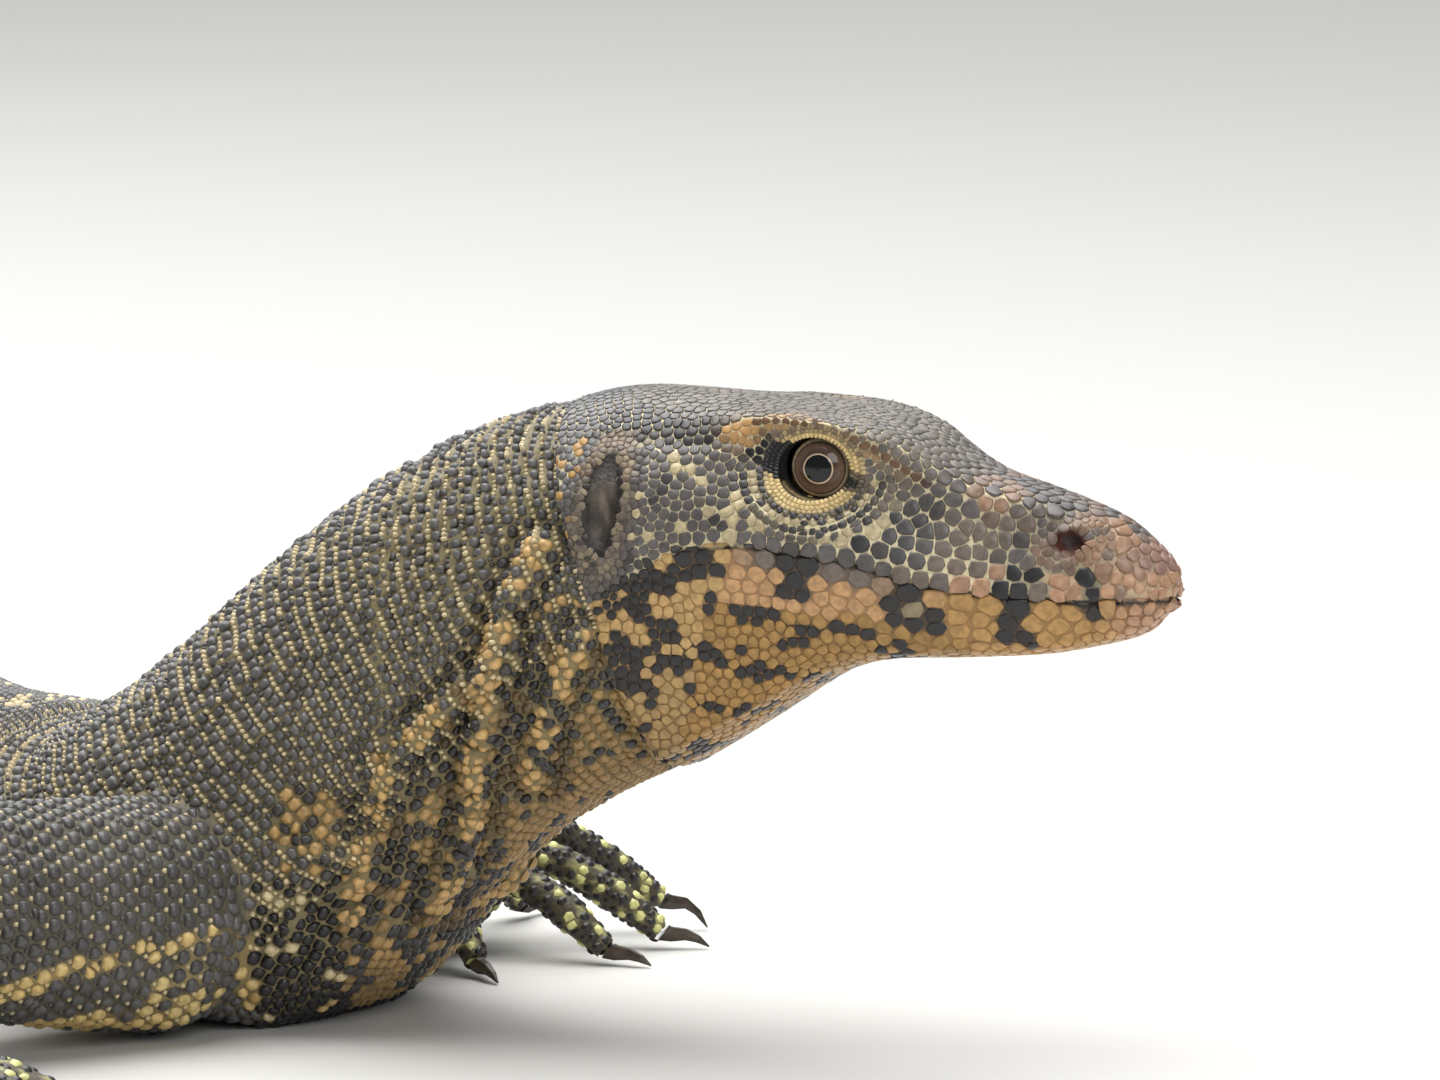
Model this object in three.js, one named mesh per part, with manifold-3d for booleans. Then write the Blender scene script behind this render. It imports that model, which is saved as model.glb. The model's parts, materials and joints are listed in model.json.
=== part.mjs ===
// A water monitor lizard at rest, life size: it lies on its belly with the neck raised, the head
// turned to its right and the tail in a loose S on the floor. Millimetres, +Z up, floor at z = 0.
// The body is lofted whole along its spine and parted by thin cuts.

import * as THREE from 'three';
import { mergeVertices } from 'three/addons/utils/BufferGeometryUtils.js';
import Module from 'manifold-3d';

const wasm = await Module();
wasm.setup();

// Driving dimensions
const GAP = 0.3; // between neighbouring pieces
const SNOUT_HEIGHT = 85; // tip of the snout above the floor
const HEAD_HEADING = 20; // degrees that the head is turned to the animal's right of +X
const HEAD_PITCH = -3; // degrees, nose down
const HEAD_END = 113; // snout tip to the last head section, inside the neck
const EYE = { u: -61, w: 11.1, v: 16, radius: 6.3 };
const NOSTRIL = { u: -17.3, w: 9.9, v: 6.6, long: 3.2, deep: 2.4, high: 1.9, slant: -35 };
const EAR = { u: -96.4, w: 26.9, v: 7.2, long: 3.1, deep: 3.2, high: 8 };
const TRUNK_LENGTH = 400; // shoulders to vent
const TAIL_LENGTH = 900;
const TAIL_NODES = 5;

const BODY_RING = 24; // points round the neck and trunk
const TAIL_RING = 16;
const LIMB_RING = 12;
const DIGIT_RING = 8;

// Colours of the parts
const SKIN_DARK = 0x2b2c31;
const SKIN_HEAD = 0x4a453c;
const SKIN_THROAT = 0xb98a4a;
const EYE_COLOUR = 0x2a1710;
const CLAW_COLOUR = 0x1c1714;

const radians = THREE.MathUtils.degToRad;
const vector = (x, y, z) => new THREE.Vector3(x, y, z);

// A smooth line through [place, value] pairs, flat where the values turn, so it never overshoots.
function through(points) {
  const slopes = points.map((point, i) => {
    const before = points[i - 1];
    const after = points[i + 1];
    if (!before || !after) {
      const [a, b] = before ? [before, point] : [point, after];
      return (b[1] - a[1]) / (b[0] - a[0]);
    }
    const left = (point[1] - before[1]) / (point[0] - before[0]);
    const right = (after[1] - point[1]) / (after[0] - point[0]);
    return left * right <= 0 ? 0 : (2 * left * right) / (left + right);
  });
  return (place) => {
    let i = points.findIndex((point) => point[0] >= place);
    if (i < 0) i = points.length - 1;
    i = Math.max(i, 1);
    const [x0, y0] = points[i - 1];
    const [x1, y1] = points[i];
    const span = x1 - x0;
    const t = THREE.MathUtils.clamp((place - x0) / span, 0, 1);
    const rise = (2 * t ** 3 - 3 * t ** 2 + 1) * y0 + (3 * t ** 2 - 2 * t ** 3) * y1;
    return rise + (t ** 3 - 2 * t ** 2 + t) * span * slopes[i - 1] + (t ** 3 - t ** 2) * span * slopes[i];
  };
}

// Solids: a closed surface over a row of rings, and plain three.js shapes, for cutting and joining.
function solidFrom(geometry) {
  const bare = geometry.clone();
  bare.deleteAttribute('normal');
  bare.deleteAttribute('uv');
  const merged = mergeVertices(bare, 1e-4);
  const vertProperties = new Float32Array(merged.attributes.position.array);
  const triVerts = new Uint32Array(merged.index.array);
  return new wasm.Manifold(new wasm.Mesh({ numProp: 3, vertProperties, triVerts }));
}

function solidOver(rings) {
  const count = rings[0].length;
  const vertices = rings.flat();
  const index = [];
  for (let row = 0; row + 1 < rings.length; row++) {
    for (let i = 0; i < count; i++) {
      const a = row * count + i;
      const b = row * count + ((i + 1) % count);
      index.push(a, b, b + count, a, b + count, a + count);
    }
  }
  const cap = (row, turned) => {
    const centre = vector(0, 0, 0);
    rings[row].forEach((point) => centre.addScaledVector(point, 1 / count));
    vertices.push(centre);
    for (let i = 0; i < count; i++) {
      const a = row * count + i;
      const b = row * count + ((i + 1) % count);
      index.push(...(turned ? [vertices.length - 1, a, b] : [vertices.length - 1, b, a]));
    }
  };
  cap(0, false);
  cap(rings.length - 1, true);
  let volume = 0;
  for (let i = 0; i < index.length; i += 3) {
    const [a, b, c] = [0, 1, 2].map((k) => vertices[index[i + k]]);
    volume += a.dot(b.clone().cross(c));
  }
  if (volume < 0) index.reverse();
  const vertProperties = new Float32Array(vertices.flatMap((point) => point.toArray()));
  const triVerts = new Uint32Array(index);
  return new wasm.Manifold(new wasm.Mesh({ numProp: 3, vertProperties, triVerts }));
}

// Everything on the side of a plane that its normal points to.
function halfSpace(point, normal) {
  const size = 600;
  const box = new THREE.BoxGeometry(size, size, size);
  box.translate(0, 0, size / 2);
  const turn = new THREE.Quaternion().setFromUnitVectors(vector(0, 0, 1), normal.clone().normalize());
  box.applyQuaternion(turn);
  box.translate(point.x, point.y, point.z);
  return solidFrom(box);
}

function largest(solid) {
  const pieces = solid.decompose();
  return pieces.reduce((best, piece) => (piece.volume() > best.volume() ? piece : best));
}

function meshOf(name, solid, colour, roughness = 0.6) {
  const { numProp, vertProperties, triVerts } = solid.getMesh();
  const geometry = new THREE.BufferGeometry();
  const positions = new Float32Array((vertProperties.length / numProp) * 3);
  for (let i = 0; i < positions.length / 3; i++) {
    for (let k = 0; k < 3; k++) positions[3 * i + k] = vertProperties[numProp * i + k];
  }
  geometry.setAttribute('position', new THREE.BufferAttribute(positions, 3));
  geometry.setIndex(new THREE.BufferAttribute(new Uint32Array(triVerts), 1));
  geometry.computeVertexNormals();
  const material = new THREE.MeshStandardMaterial({ color: colour, roughness, metalness: 0 });
  const mesh = new THREE.Mesh(geometry, material);
  mesh.name = name;
  return mesh;
}

// The head has its own axes: u forward from the snout tip, w to the animal's right, v up. The frame
// itself is right-handed, with its second axis to the left.
const headFrame = new THREE.Matrix4()
  .makeTranslation(0, 0, SNOUT_HEIGHT)
  .multiply(new THREE.Matrix4().makeRotationZ(radians(-HEAD_HEADING)))
  .multiply(new THREE.Matrix4().makeRotationY(radians(-HEAD_PITCH)));
const onHead = (u, w, v) => vector(u, -w, v).applyMatrix4(headFrame);

// Lines along the head, each against the distance behind the snout tip: half width and height.
const headLine = {
  top: through([[0.6, 2.6], [2.2, 4.5], [5, 6.7], [8, 8.9], [11.6, 10.8], [17, 12.5], [24, 14.2], [32, 15.8],
    [38, 17.8], [44, 20.9], [50, 23.3], [57, 24.5], [66, 24.9], [86, 25.6], [97, 25.4], [104, 24.2], [113, 21]]),
  browWide: through([[0.6, 1.6], [2.2, 2.8], [5, 4.2], [10, 5.6], [17, 7.3], [25, 9], [35, 11.4], [42, 13.4],
    [48, 15.3], [55, 17], [62, 17.6], [70, 17.2], [78, 16.2], [86, 15.6], [97, 16.4], [113, 18.5]]),
  browHigh: through([[0.6, 1.8], [2.2, 3.4], [5, 5.4], [10, 8.4], [17, 10.7], [25, 12.6], [35, 14.6], [42, 18],
    [48, 21.4], [55, 23.4], [62, 24.2], [70, 24.2], [78, 23.2], [86, 22], [97, 20.2], [113, 14]]),
  sideWide: through([[0.6, 2.2], [2.2, 3.9], [5, 5.8], [10, 7.8], [17, 9.5], [25, 10.8], [35, 12.9], [45, 14.8],
    [55, 16.2], [61, 16.6], [68, 18], [78, 21.2], [88, 23.4], [97, 24.4], [113, 26.4]]),
  sideHigh: through([[0.6, 0.6], [2.2, 1.4], [5, 2.6], [10, 4.4], [17, 6.3], [25, 7.6], [35, 9], [45, 11.8],
    [55, 14.6], [61, 15.8], [68, 15.8], [78, 14.6], [88, 12.6], [97, 10], [113, 3]]),
  cheekWide: through([[0.6, 2.6], [2.2, 4.7], [5, 6.7], [10, 8.8], [17, 10.6], [25, 12.3], [35, 15], [45, 17.6],
    [55, 20], [65, 22.2], [78, 24.6], [88, 25.8], [97, 26], [113, 27.3]]),
  cheekHigh: through([[0.6, -0.6], [2.2, -0.6], [5, -0.4], [10, 0.2], [17, 0.8], [25, 1.6], [35, 2.4], [45, 4.4],
    [55, 6.6], [65, 8.2], [78, 7.8], [88, 4.6], [97, -1], [113, -9]]),
  lipWide: through([[0.6, 2.8], [2.2, 5], [5, 7.1], [10, 9.2], [17, 11], [25, 13.2], [35, 16], [45, 18.6],
    [55, 20.8], [65, 22.8], [78, 25], [88, 26.2], [97, 26.2], [113, 27.4]]),
  mouth: through([[0.6, -2.6], [8.6, -3.1], [15.5, -3.7], [22, -3.6], [30, -3.4], [37, -2.9], [44.5, -1.6],
    [52, 0.3], [62, 1.6], [71.5, 2.2], [80, 1], [88, -3], [97, -10], [113, -20]]),
  jawWide: through([[0.6, 1.8], [2.2, 3.4], [5, 5], [12, 7], [22, 9.6], [35, 13], [48, 16.2], [60, 19], [72, 21.8],
    [84, 24], [97, 25.4], [113, 26.8]]),
  jawHigh: through([[0.6, -3.6], [2.2, -4.4], [5, -7], [12, -9.4], [22, -11.4], [35, -12.7], [48, -13.4],
    [60, -13.8], [72, -14.4], [84, -17], [97, -26], [113, -38]]),
  gularWide: through([[0.6, 1], [2.2, 1.8], [5, 2.8], [12, 4], [22, 5.8], [35, 8.2], [48, 10.6], [60, 13.4],
    [72, 16.4], [84, 19], [97, 20.5], [113, 21.5]]),
  gularHigh: through([[0.6, -3.9], [2.2, -5.2], [5, -8.2], [12, -11], [22, -13.5], [35, -15.1], [48, -16.4],
    [60, -20], [72, -27.5], [84, -35], [97, -42.5], [113, -50]]),
  bottom: through([[0.6, -4], [2.2, -5.6], [5, -8.8], [12, -11.5], [22, -14], [30, -15.1], [40, -16.2],
    [48, -16.9], [55, -19], [63.5, -24.2], [72, -30.6], [83, -38.5], [94, -45], [104, -50.5], [113, -54]]),
};
const LIP = 1.2; // height of each lip from the line of the mouth
const LOWER_LIP_INSET = 0.9;

function headRing(back) {
  const at = Object.fromEntries(Object.entries(headLine).map(([name, line]) => [name, line(back)]));
  const lip = Math.min(LIP, back * 0.3);
  const lowerLip = at.lipWide - Math.min(LOWER_LIP_INSET, at.lipWide * 0.15);
  const side = [
    [at.browWide * 0.55, at.top - (at.top - at.browHigh) * 0.25],
    [at.browWide, at.browHigh],
    [at.sideWide, at.sideHigh],
    [at.cheekWide, at.cheekHigh],
    [at.lipWide, at.mouth + lip],
    [lowerLip, at.mouth - lip],
    [at.jawWide, at.jawHigh],
    [at.gularWide, at.gularHigh],
  ];
  const outline = [
    [0, at.top],
    ...side,
    [0, at.bottom],
    ...side.map(([w, v]) => [-w, v]).reverse(),
  ];
  const curve = new THREE.CatmullRomCurve3(outline.map(([w, v]) => vector(0, w, v)), true, 'centripetal');
  const count = outline.length * 2;
  return Array.from({ length: count }, (_, i) => {
    const point = curve.getPoint(i / count);
    return onHead(-back, point.y, point.z);
  });
}

// Sections stand closest at the snout and the eye.
const headSections = [0.6, 2.2];
while (headSections.at(-1) < HEAD_END) {
  const last = headSections.at(-1);
  const nearEye = Math.abs(last + 1.5 + EYE.u) < 9;
  headSections.push(Math.min(last + Math.min(1.8 + last * 0.06, nearEye ? 2.6 : 4), HEAD_END));
}

// Round pieces set in the head, such as the socket of an eye: an ellipsoid with half sizes along the
// head's axes, turned in the head's side view.
function onHeadEllipsoid(u, w, v, long, deep, high, slant = 0) {
  const ball = new THREE.SphereGeometry(1, 14, 9);
  ball.scale(long, deep, high);
  ball.rotateY(radians(-slant));
  ball.translate(u, -w, v);
  return solidFrom(ball.applyMatrix4(headFrame));
}

// The rim of the lids: a low ring round the opening of the eye.
const LID = { long: 7.3, high: 6.3, thick: 1.15, w: 16.1 };
function lidRing(side) {
  const ring = new THREE.TorusGeometry(1, 0.16, 6, 20);
  ring.rotateX(radians(90));
  ring.scale(LID.long, LID.thick / 0.16, LID.high);
  ring.translate(EYE.u, -side * LID.w, EYE.v);
  return solidFrom(ring.applyMatrix4(headFrame));
}

function headSolid() {
  let head = solidOver(headSections.map(headRing));
  for (const side of [1, -1]) {
    head = head.add(lidRing(side));
    const socket = EYE.radius + GAP;
    head = head.subtract(onHeadEllipsoid(EYE.u, side * EYE.w, EYE.v, socket, socket, socket));
    head = head.subtract(onHeadEllipsoid(EYE.u, side * (LID.w + 1.4), EYE.v, 6.2, 4.6, 5.3));
    const nose = NOSTRIL;
    head = head.subtract(
      onHeadEllipsoid(nose.u, side * nose.w, nose.v, nose.long, nose.deep, nose.high, nose.slant));
    head = head.subtract(onHeadEllipsoid(EAR.u, side * EAR.w, EAR.v, EAR.long, EAR.deep, EAR.high));
  }
  return head;
}

// The mouth is shut: a thin sheet along the line of the lips parts the lower jaw from the head. Behind
// the corner of the mouth it turns down through the angle of the jaw.
function mouthCut() {
  const line = [];
  line.push([6, headLine.mouth(0.6)]);
  for (let back = 0.6; back <= 76; back += 5) line.push([-back, headLine.mouth(back)]);
  line.push([-80, 0.2], [-82.5, -5], [-81, -14], [-76, -30], [-72, -46]);
  const above = line.map(([u, v], i) => {
    const [before, after] = [line[Math.max(i - 1, 0)], line[Math.min(i + 1, line.length - 1)]];
    const along = new THREE.Vector2(after[0] - before[0], after[1] - before[1]).normalize();
    return new THREE.Vector2(u + (along.y * GAP) / 2, v - (along.x * GAP) / 2);
  });
  const below = above.map((point, i) => new THREE.Vector2(2 * line[i][0] - point.x, 2 * line[i][1] - point.y));
  const sheet = new THREE.ExtrudeGeometry(new THREE.Shape([...above, ...below.reverse()]), {
    depth: 80,
    bevelEnabled: false,
  });
  sheet.translate(0, 0, -40);
  sheet.rotateX(radians(90));
  return solidFrom(sheet.applyMatrix4(headFrame));
}

// Stations of the neck and trunk: distance s behind the base of the neck, place of the section's
// centre, heading of the body, how far the section leans back, its half height and half width.
const neckStations = [
  { s: -119, x: -79.5, y: 28.9, z: 86.1, heading: 20, lean: 17, high: 30.5, wide: 25.4 },
  { s: -104.4, x: -92.4, y: 33.6, z: 81.4, heading: 20.5, lean: 18.6, high: 32.5, wide: 26.2 },
  { s: -91.5, x: -104.3, y: 38.2, z: 77, heading: 23, lean: 22, high: 34, wide: 27 },
  { s: -68.5, x: -123.2, y: 47, z: 65.3, heading: 27, lean: 32, high: 34.4, wide: 28.3 },
  { s: -47.5, x: -137.4, y: 54.9, z: 52.3, heading: 30, lean: 43, high: 34.6, wide: 30 },
  { s: -23.8, x: -151.8, y: 64.2, z: 36.4, heading: 34, lean: 49, high: 36.2, wide: 33.5 },
  { s: 0, x: -165.5, y: 74.2, z: 24.5, heading: 37, lean: 50, high: 38, wide: 37.5 },
];
const NECK_BASE = neckStations.at(-1);
const HEAD_CUT = neckStations[1];

// Behind the neck the spine follows a turning heading along the floor.
const heading = through([[0, 37], [60, 41], [130, 45], [240, 46], [330, 40], [400, 32], [480, 20], [640, -6],
  [820, -24], [960, -20], [1100, 4], [1220, 22], [1300, 27]]);
const lean = through([[0, 49], [16.5, 45], [35, 38], [55, 30], [77, 20], [103, 10], [130, 3], [180, 0], [1300, 0]]);
const middle = through([[0, 23], [16.5, 23.6], [35, 24], [55, 24.6], [77, 25.6], [103, 27], [130, 28.6], [190, 31],
  [250, 32], [310, 31], [350, 29], [400, 25.6], [440, 23], [1300, 0]]);
const halfHigh = through([[0, 37.5], [16.5, 35.5], [35, 32], [55, 29], [77, 27.4], [103, 28], [130, 29.4], [190, 32],
  [250, 33], [310, 32], [350, 30], [400, 26.4], [440, 23.4], [500, 21], [600, 18.6], [700, 16.6], [850, 13.4],
  [1000, 10], [1150, 6.2], [1260, 3], [1296, 1.4], [1300, 1]]);
const halfWide = through([[0, 37.5], [16.5, 40], [35, 42], [55, 44], [77, 47], [103, 51], [130, 55], [190, 60.5],
  [250, 60], [310, 52], [350, 43.5], [400, 33], [440, 26], [500, 20], [600, 14.6], [700, 11.6], [850, 8.8],
  [1000, 6.4], [1150, 4], [1260, 2.2], [1296, 1], [1300, 0.7]]);
const BODY_LENGTH = TRUNK_LENGTH + TAIL_LENGTH;
const VENT = TRUNK_LENGTH;
const KEEL = { from: VENT + 30, full: VENT + 160, height: 2.2, half: 1.5 }; // double keel along the tail

const spineStep = 5;
const spine = [vector(NECK_BASE.x, NECK_BASE.y, 0)];
for (let s = 0; s < BODY_LENGTH; s += spineStep) {
  const angle = radians(heading(s + spineStep / 2));
  spine.push(spine.at(-1).clone().add(vector(-Math.cos(angle), Math.sin(angle), 0).multiplyScalar(spineStep)));
}

const neckCurves = Object.fromEntries(
  ['x', 'y', 'z', 'heading', 'lean', 'high', 'wide'].map((field) => [
    field,
    through(neckStations.map((station) => [station.s, station[field]])),
  ]),
);

// The section of the body at s: centre, axes and half sizes.
function section(s) {
  if (s <= 0) {
    const at = Object.fromEntries(Object.entries(neckCurves).map(([field, curve]) => [field, curve(s)]));
    return { centre: vector(at.x, at.y, at.z), heading: at.heading, lean: at.lean, high: at.high, wide: at.wide };
  }
  const step = Math.min(Math.floor(s / spineStep), spine.length - 2);
  const centre = spine[step].clone().lerp(spine[step + 1], s / spineStep - step);
  const high = halfHigh(s);
  centre.z = s > 440 ? high - 0.4 : middle(s);
  return { centre, heading: heading(s), lean: lean(s), high, wide: halfWide(s) };
}

// A point of the body from distances forward, to the right and up from the spine on the floor at s.
function beside(s, forward, right, up) {
  const at = section(s);
  const angle = radians(at.heading);
  const ahead = vector(Math.cos(angle), -Math.sin(angle), 0);
  const aside = vector(-Math.sin(angle), -Math.cos(angle), 0);
  const foot = vector(at.centre.x, at.centre.y, 0);
  return foot.addScaledVector(ahead, forward).addScaledVector(aside, right).add(vector(0, 0, up));
}

function bodyRing(s, count, grow = 0) {
  const at = section(s);
  const angle = radians(at.heading);
  const tilt = radians(at.lean);
  const ahead = vector(Math.cos(angle), -Math.sin(angle), 0);
  const right = vector(-Math.sin(angle), -Math.cos(angle), 0);
  const up = vector(0, 0, Math.cos(tilt)).addScaledVector(ahead, -Math.sin(tilt));
  const keel = THREE.MathUtils.smoothstep(s, KEEL.from, KEEL.full) * Math.min(1, at.high / 8);
  const flatness = THREE.MathUtils.smoothstep(s, 60, 160) * (1 - THREE.MathUtils.smoothstep(s, 330, 430));
  const chest = 1 - THREE.MathUtils.smoothstep(Math.abs(s), 10, 70);
  const power = 2.15 + 0.35 * flatness + 0.45 * chest;
  return Array.from({ length: count }, (_, i) => {
    const turn = (2 * Math.PI * (i + 0.5)) / count;
    let across = Math.sign(Math.cos(turn)) * Math.abs(Math.cos(turn)) ** (2 / power) * (at.wide + grow);
    let rise = Math.sign(Math.sin(turn)) * Math.abs(Math.sin(turn)) ** (2 / power) * (at.high + grow);
    if (keel > 0 && i >= count / 4 - 1 && i <= count / 4) {
      across = THREE.MathUtils.lerp(across, Math.sign(across) * KEEL.half * Math.min(1, at.wide / 5), keel);
      rise = THREE.MathUtils.lerp(rise, at.high + grow + KEEL.height * 0.5, keel);
    }
    const point = at.centre.clone().addScaledVector(right, across).addScaledVector(up, rise);
    point.z = Math.max(point.z, 0);
    return point;
  });
}

function bodyLength(from, to, step, count, grow = 0) {
  const pieces = Math.max(2, Math.ceil((to - from) / step));
  return solidOver(Array.from({ length: pieces + 1 }, (_, i) => bodyRing(from + ((to - from) * i) / pieces, count, grow)));
}

// The head and the neck meet on a plane that leans back, behind the ears.
const cutAngle = radians(HEAD_CUT.heading);
const cutLean = radians(HEAD_CUT.lean);
const cutNormal = vector(-Math.cos(cutAngle), Math.sin(cutAngle), 0)
  .multiplyScalar(Math.cos(cutLean))
  .add(vector(0, 0, -Math.sin(cutLean)));
const cutPoint = vector(HEAD_CUT.x, HEAD_CUT.y, HEAD_CUT.z);
const cutPlane = (offset) => cutPoint.clone().addScaledVector(cutNormal, offset);

const wholeHead = headSolid().subtract(halfSpace(cutPlane(-GAP / 2), cutNormal));
const jaws = wholeHead.subtract(mouthCut()).decompose().sort((a, b) => b.volume() - a.volume());
const [head, lowerJaw] = jaws;

// The lengths of the body behind the head, each from and to a place along the spine, with the spacing
// of its sections. The head hides the first stretch of the neck.
const NECK_START = neckStations[0].s;
const NECK_END = -10;
const TORSO_SPLIT = 170;
const PELVIS_START = 318;
const bodyNodes = [
  { name: 'neck', from: NECK_START, to: NECK_END, step: 7, ring: BODY_RING },
  { name: 'torso_front', from: NECK_END, to: TORSO_SPLIT, step: 12, ring: BODY_RING },
  { name: 'torso_rear', from: TORSO_SPLIT, to: PELVIS_START, step: 17, ring: BODY_RING },
  { name: 'pelvis', from: PELVIS_START, to: VENT, step: 14, ring: BODY_RING },
];
for (let i = 0; i < TAIL_NODES; i++) {
  const [from, to] = [i, i + 1].map((k) => VENT + (TAIL_LENGTH * k) / TAIL_NODES);
  bodyNodes.push({ name: `tail_${i + 1}`, from, to, step: 18, ring: TAIL_RING });
}
const beforeNeck = halfSpace(cutPlane(GAP / 2), cutNormal.clone().negate());

const group = new THREE.Group();
group.add(meshOf('head', head, SKIN_HEAD));
group.add(meshOf('lower_jaw', largest(lowerJaw), SKIN_THROAT));
for (const { name, from, to, step, ring } of bodyNodes) {
  const solid = bodyLength(from + GAP / 2, to - GAP / 2, step, ring);
  group.add(meshOf(name, name === 'neck' ? largest(solid.subtract(beforeNeck)) : solid, SKIN_DARK));
}

// The eyes: full balls, each deep in its socket.
for (const [name, side] of [['eye_right', 1], ['eye_left', -1]]) {
  const { u, w, v, radius } = EYE;
  group.add(meshOf(name, onHeadEllipsoid(u, side * w, v, radius, radius, radius), EYE_COLOUR, 0.15));
}

// A length of limb from one joint to the next: round ends, so that two lengths meet round the joint.
function limbLength(from, to, fromRadius, middleRadius, toRadius, flat = 1) {
  const along = to.clone().sub(from);
  const length = along.length();
  along.normalize();
  const aside = along.clone().cross(vector(0, 0, 1)).normalize();
  const upward = aside.clone().cross(along).normalize();
  const rings = [];
  const ringAt = (distance, radius) => {
    const centre = from.clone().addScaledVector(along, distance);
    rings.push(Array.from({ length: LIMB_RING }, (_, i) => {
      const turn = (2 * Math.PI * i) / LIMB_RING;
      const point = centre.clone().addScaledVector(aside, Math.cos(turn) * radius);
      point.addScaledVector(upward, Math.sin(turn) * radius * flat);
      point.z = Math.max(point.z, 0);
      return point;
    }));
  };
  for (const angle of [75, 40]) {
    ringAt(-Math.sin(radians(angle)) * fromRadius, Math.cos(radians(angle)) * fromRadius);
  }
  const radius = through([[0, fromRadius], [0.45, middleRadius], [1, toRadius]]);
  for (let t = 0; t <= 1.001; t += 0.2) ringAt(t * length, radius(t));
  for (const angle of [40, 75]) {
    ringAt(length + Math.sin(radians(angle)) * toRadius, Math.cos(radians(angle)) * toRadius);
  }
  return solidOver(rings);
}

// A digit: a bent tube that arches from the palm to a tip near the floor, and its curved claw.
function digitPath(root, angle, length, arch, tipHeight) {
  const ahead = vector(Math.cos(angle), Math.sin(angle), 0);
  return new THREE.CatmullRomCurve3([
    root.clone(),
    root.clone().addScaledVector(ahead, length * 0.3).setZ(root.z + arch),
    root.clone().addScaledVector(ahead, length * 0.68).setZ((root.z + arch) * 0.62 + tipHeight * 0.2),
    root.clone().addScaledVector(ahead, length).setZ(tipHeight),
  ]);
}

function tubeRings(curve, steps, count, radiusAt) {
  return Array.from({ length: steps + 1 }, (_, k) => {
    const t = k / steps;
    const centre = curve.getPoint(t);
    const along = curve.getTangent(t);
    const aside = along.clone().cross(vector(0, 0, 1)).normalize();
    const upward = aside.clone().cross(along).normalize();
    return Array.from({ length: count }, (_, i) => {
      const turn = (2 * Math.PI * i) / count;
      const point = centre.clone().addScaledVector(aside, Math.cos(turn) * radiusAt(t));
      point.addScaledVector(upward, Math.sin(turn) * radiusAt(t));
      point.z = Math.max(point.z, 0);
      return point;
    });
  });
}

const CLAW = { radius: 1.9, reach: 8.5 };
function clawSolid(path, scale) {
  const tip = path.getPoint(1);
  const along = path.getTangent(1);
  const flat = along.clone().setZ(0).normalize();
  const reach = CLAW.reach * scale;
  const start = tip.clone().addScaledVector(along, GAP);
  const curve = new THREE.CatmullRomCurve3([
    start.clone().addScaledVector(along, -1),
    start.clone().addScaledVector(along, 1).add(vector(0, 0, 0.5)),
    start.clone().addScaledVector(flat, reach * 0.6).setZ(start.z * 0.85),
    start.clone().addScaledVector(flat, reach).setZ(0.5),
  ]);
  const radius = CLAW.radius * scale;
  const claw = solidOver(tubeRings(curve, 5, 6, (t) => radius * (1 - t) ** 0.7 + 0.16));
  return largest(claw.subtract(halfSpace(start, along.clone().negate())));
}

// A hand or foot: a flat palm from the wrist to the knuckles and five digits fused into it.
function extremity(limb) {
  const { wrist, knuckles, width, thick, digits, scale } = limb;
  const ahead = knuckles.clone().sub(wrist).setZ(0).normalize();
  const aside = vector(ahead.y, -ahead.x, 0);
  const palmLength = knuckles.clone().sub(wrist).setZ(0).length();
  const centreAt = (t) => wrist.clone().lerp(knuckles, t);
  const halfAcross = through([[-0.25, 8.4], [0, 9.4], [0.4, width * 0.42], [0.85, width * 0.5], [1.12, width * 0.34]]);
  const halfThick = through([[-0.25, limb.wristRadius], [0, limb.wristRadius * 0.92], [0.5, thick * 0.62],
    [0.85, thick * 0.5], [1.12, thick * 0.3]]);
  let palm = solidOver([-0.25, 0, 0.2, 0.4, 0.65, 0.85, 1, 1.12].map((t) => {
    const centre = centreAt(t);
    return Array.from({ length: LIMB_RING }, (_, i) => {
      const turn = (2 * Math.PI * i) / LIMB_RING;
      const point = centre.clone().addScaledVector(aside, Math.cos(turn) * halfAcross(t));
      point.z = Math.max(centre.z + Math.sin(turn) * halfThick(t), 0);
      return point;
    });
  }));
  const claws = [];
  const heading = Math.atan2(ahead.y, ahead.x);
  digits.forEach(({ name, across, back, splay, length, arch, tip }) => {
    const root = wrist.clone().addScaledVector(ahead, palmLength * (1 - back));
    root.addScaledVector(aside, across * width * 0.5 * limb.mirror);
    root.z = knuckles.z;
    const angle = heading - radians(splay) * limb.mirror;
    const path = digitPath(root, angle, length * scale, arch, tip);
    const radius = through([[0, 4.5], [0.3, 4.2], [0.5, 3.6], [0.68, 3.9], [0.85, 3.3], [1, 2.7]]);
    palm = palm.add(solidOver(tubeRings(path, 7, DIGIT_RING, (t) => radius(t) * limb.digitThick)));
    claws.push([`${limb.name}_claw_${name}`, clawSolid(path, limb.digitThick)]);
  });
  return { palm, claws };
}

// Digits from the inner to the outer one: place across the palm, how far behind the knuckles, splay,
// length without the claw, arch and height of the tip.
const handDigits = [
  { name: 'i', across: -0.86, back: 0.5, splay: -44, length: 23, arch: 3.4, tip: 2.6 },
  { name: 'ii', across: -0.5, back: 0.12, splay: -19, length: 29, arch: 5, tip: 2.6 },
  { name: 'iii', across: 0, back: 0, splay: 4, length: 34, arch: 5.4, tip: 2.6 },
  { name: 'iv', across: 0.52, back: 0.1, splay: 27, length: 34, arch: 5, tip: 2.6 },
  { name: 'v', across: 0.86, back: 0.5, splay: 60, length: 25, arch: 3.4, tip: 2.6 },
];
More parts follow.
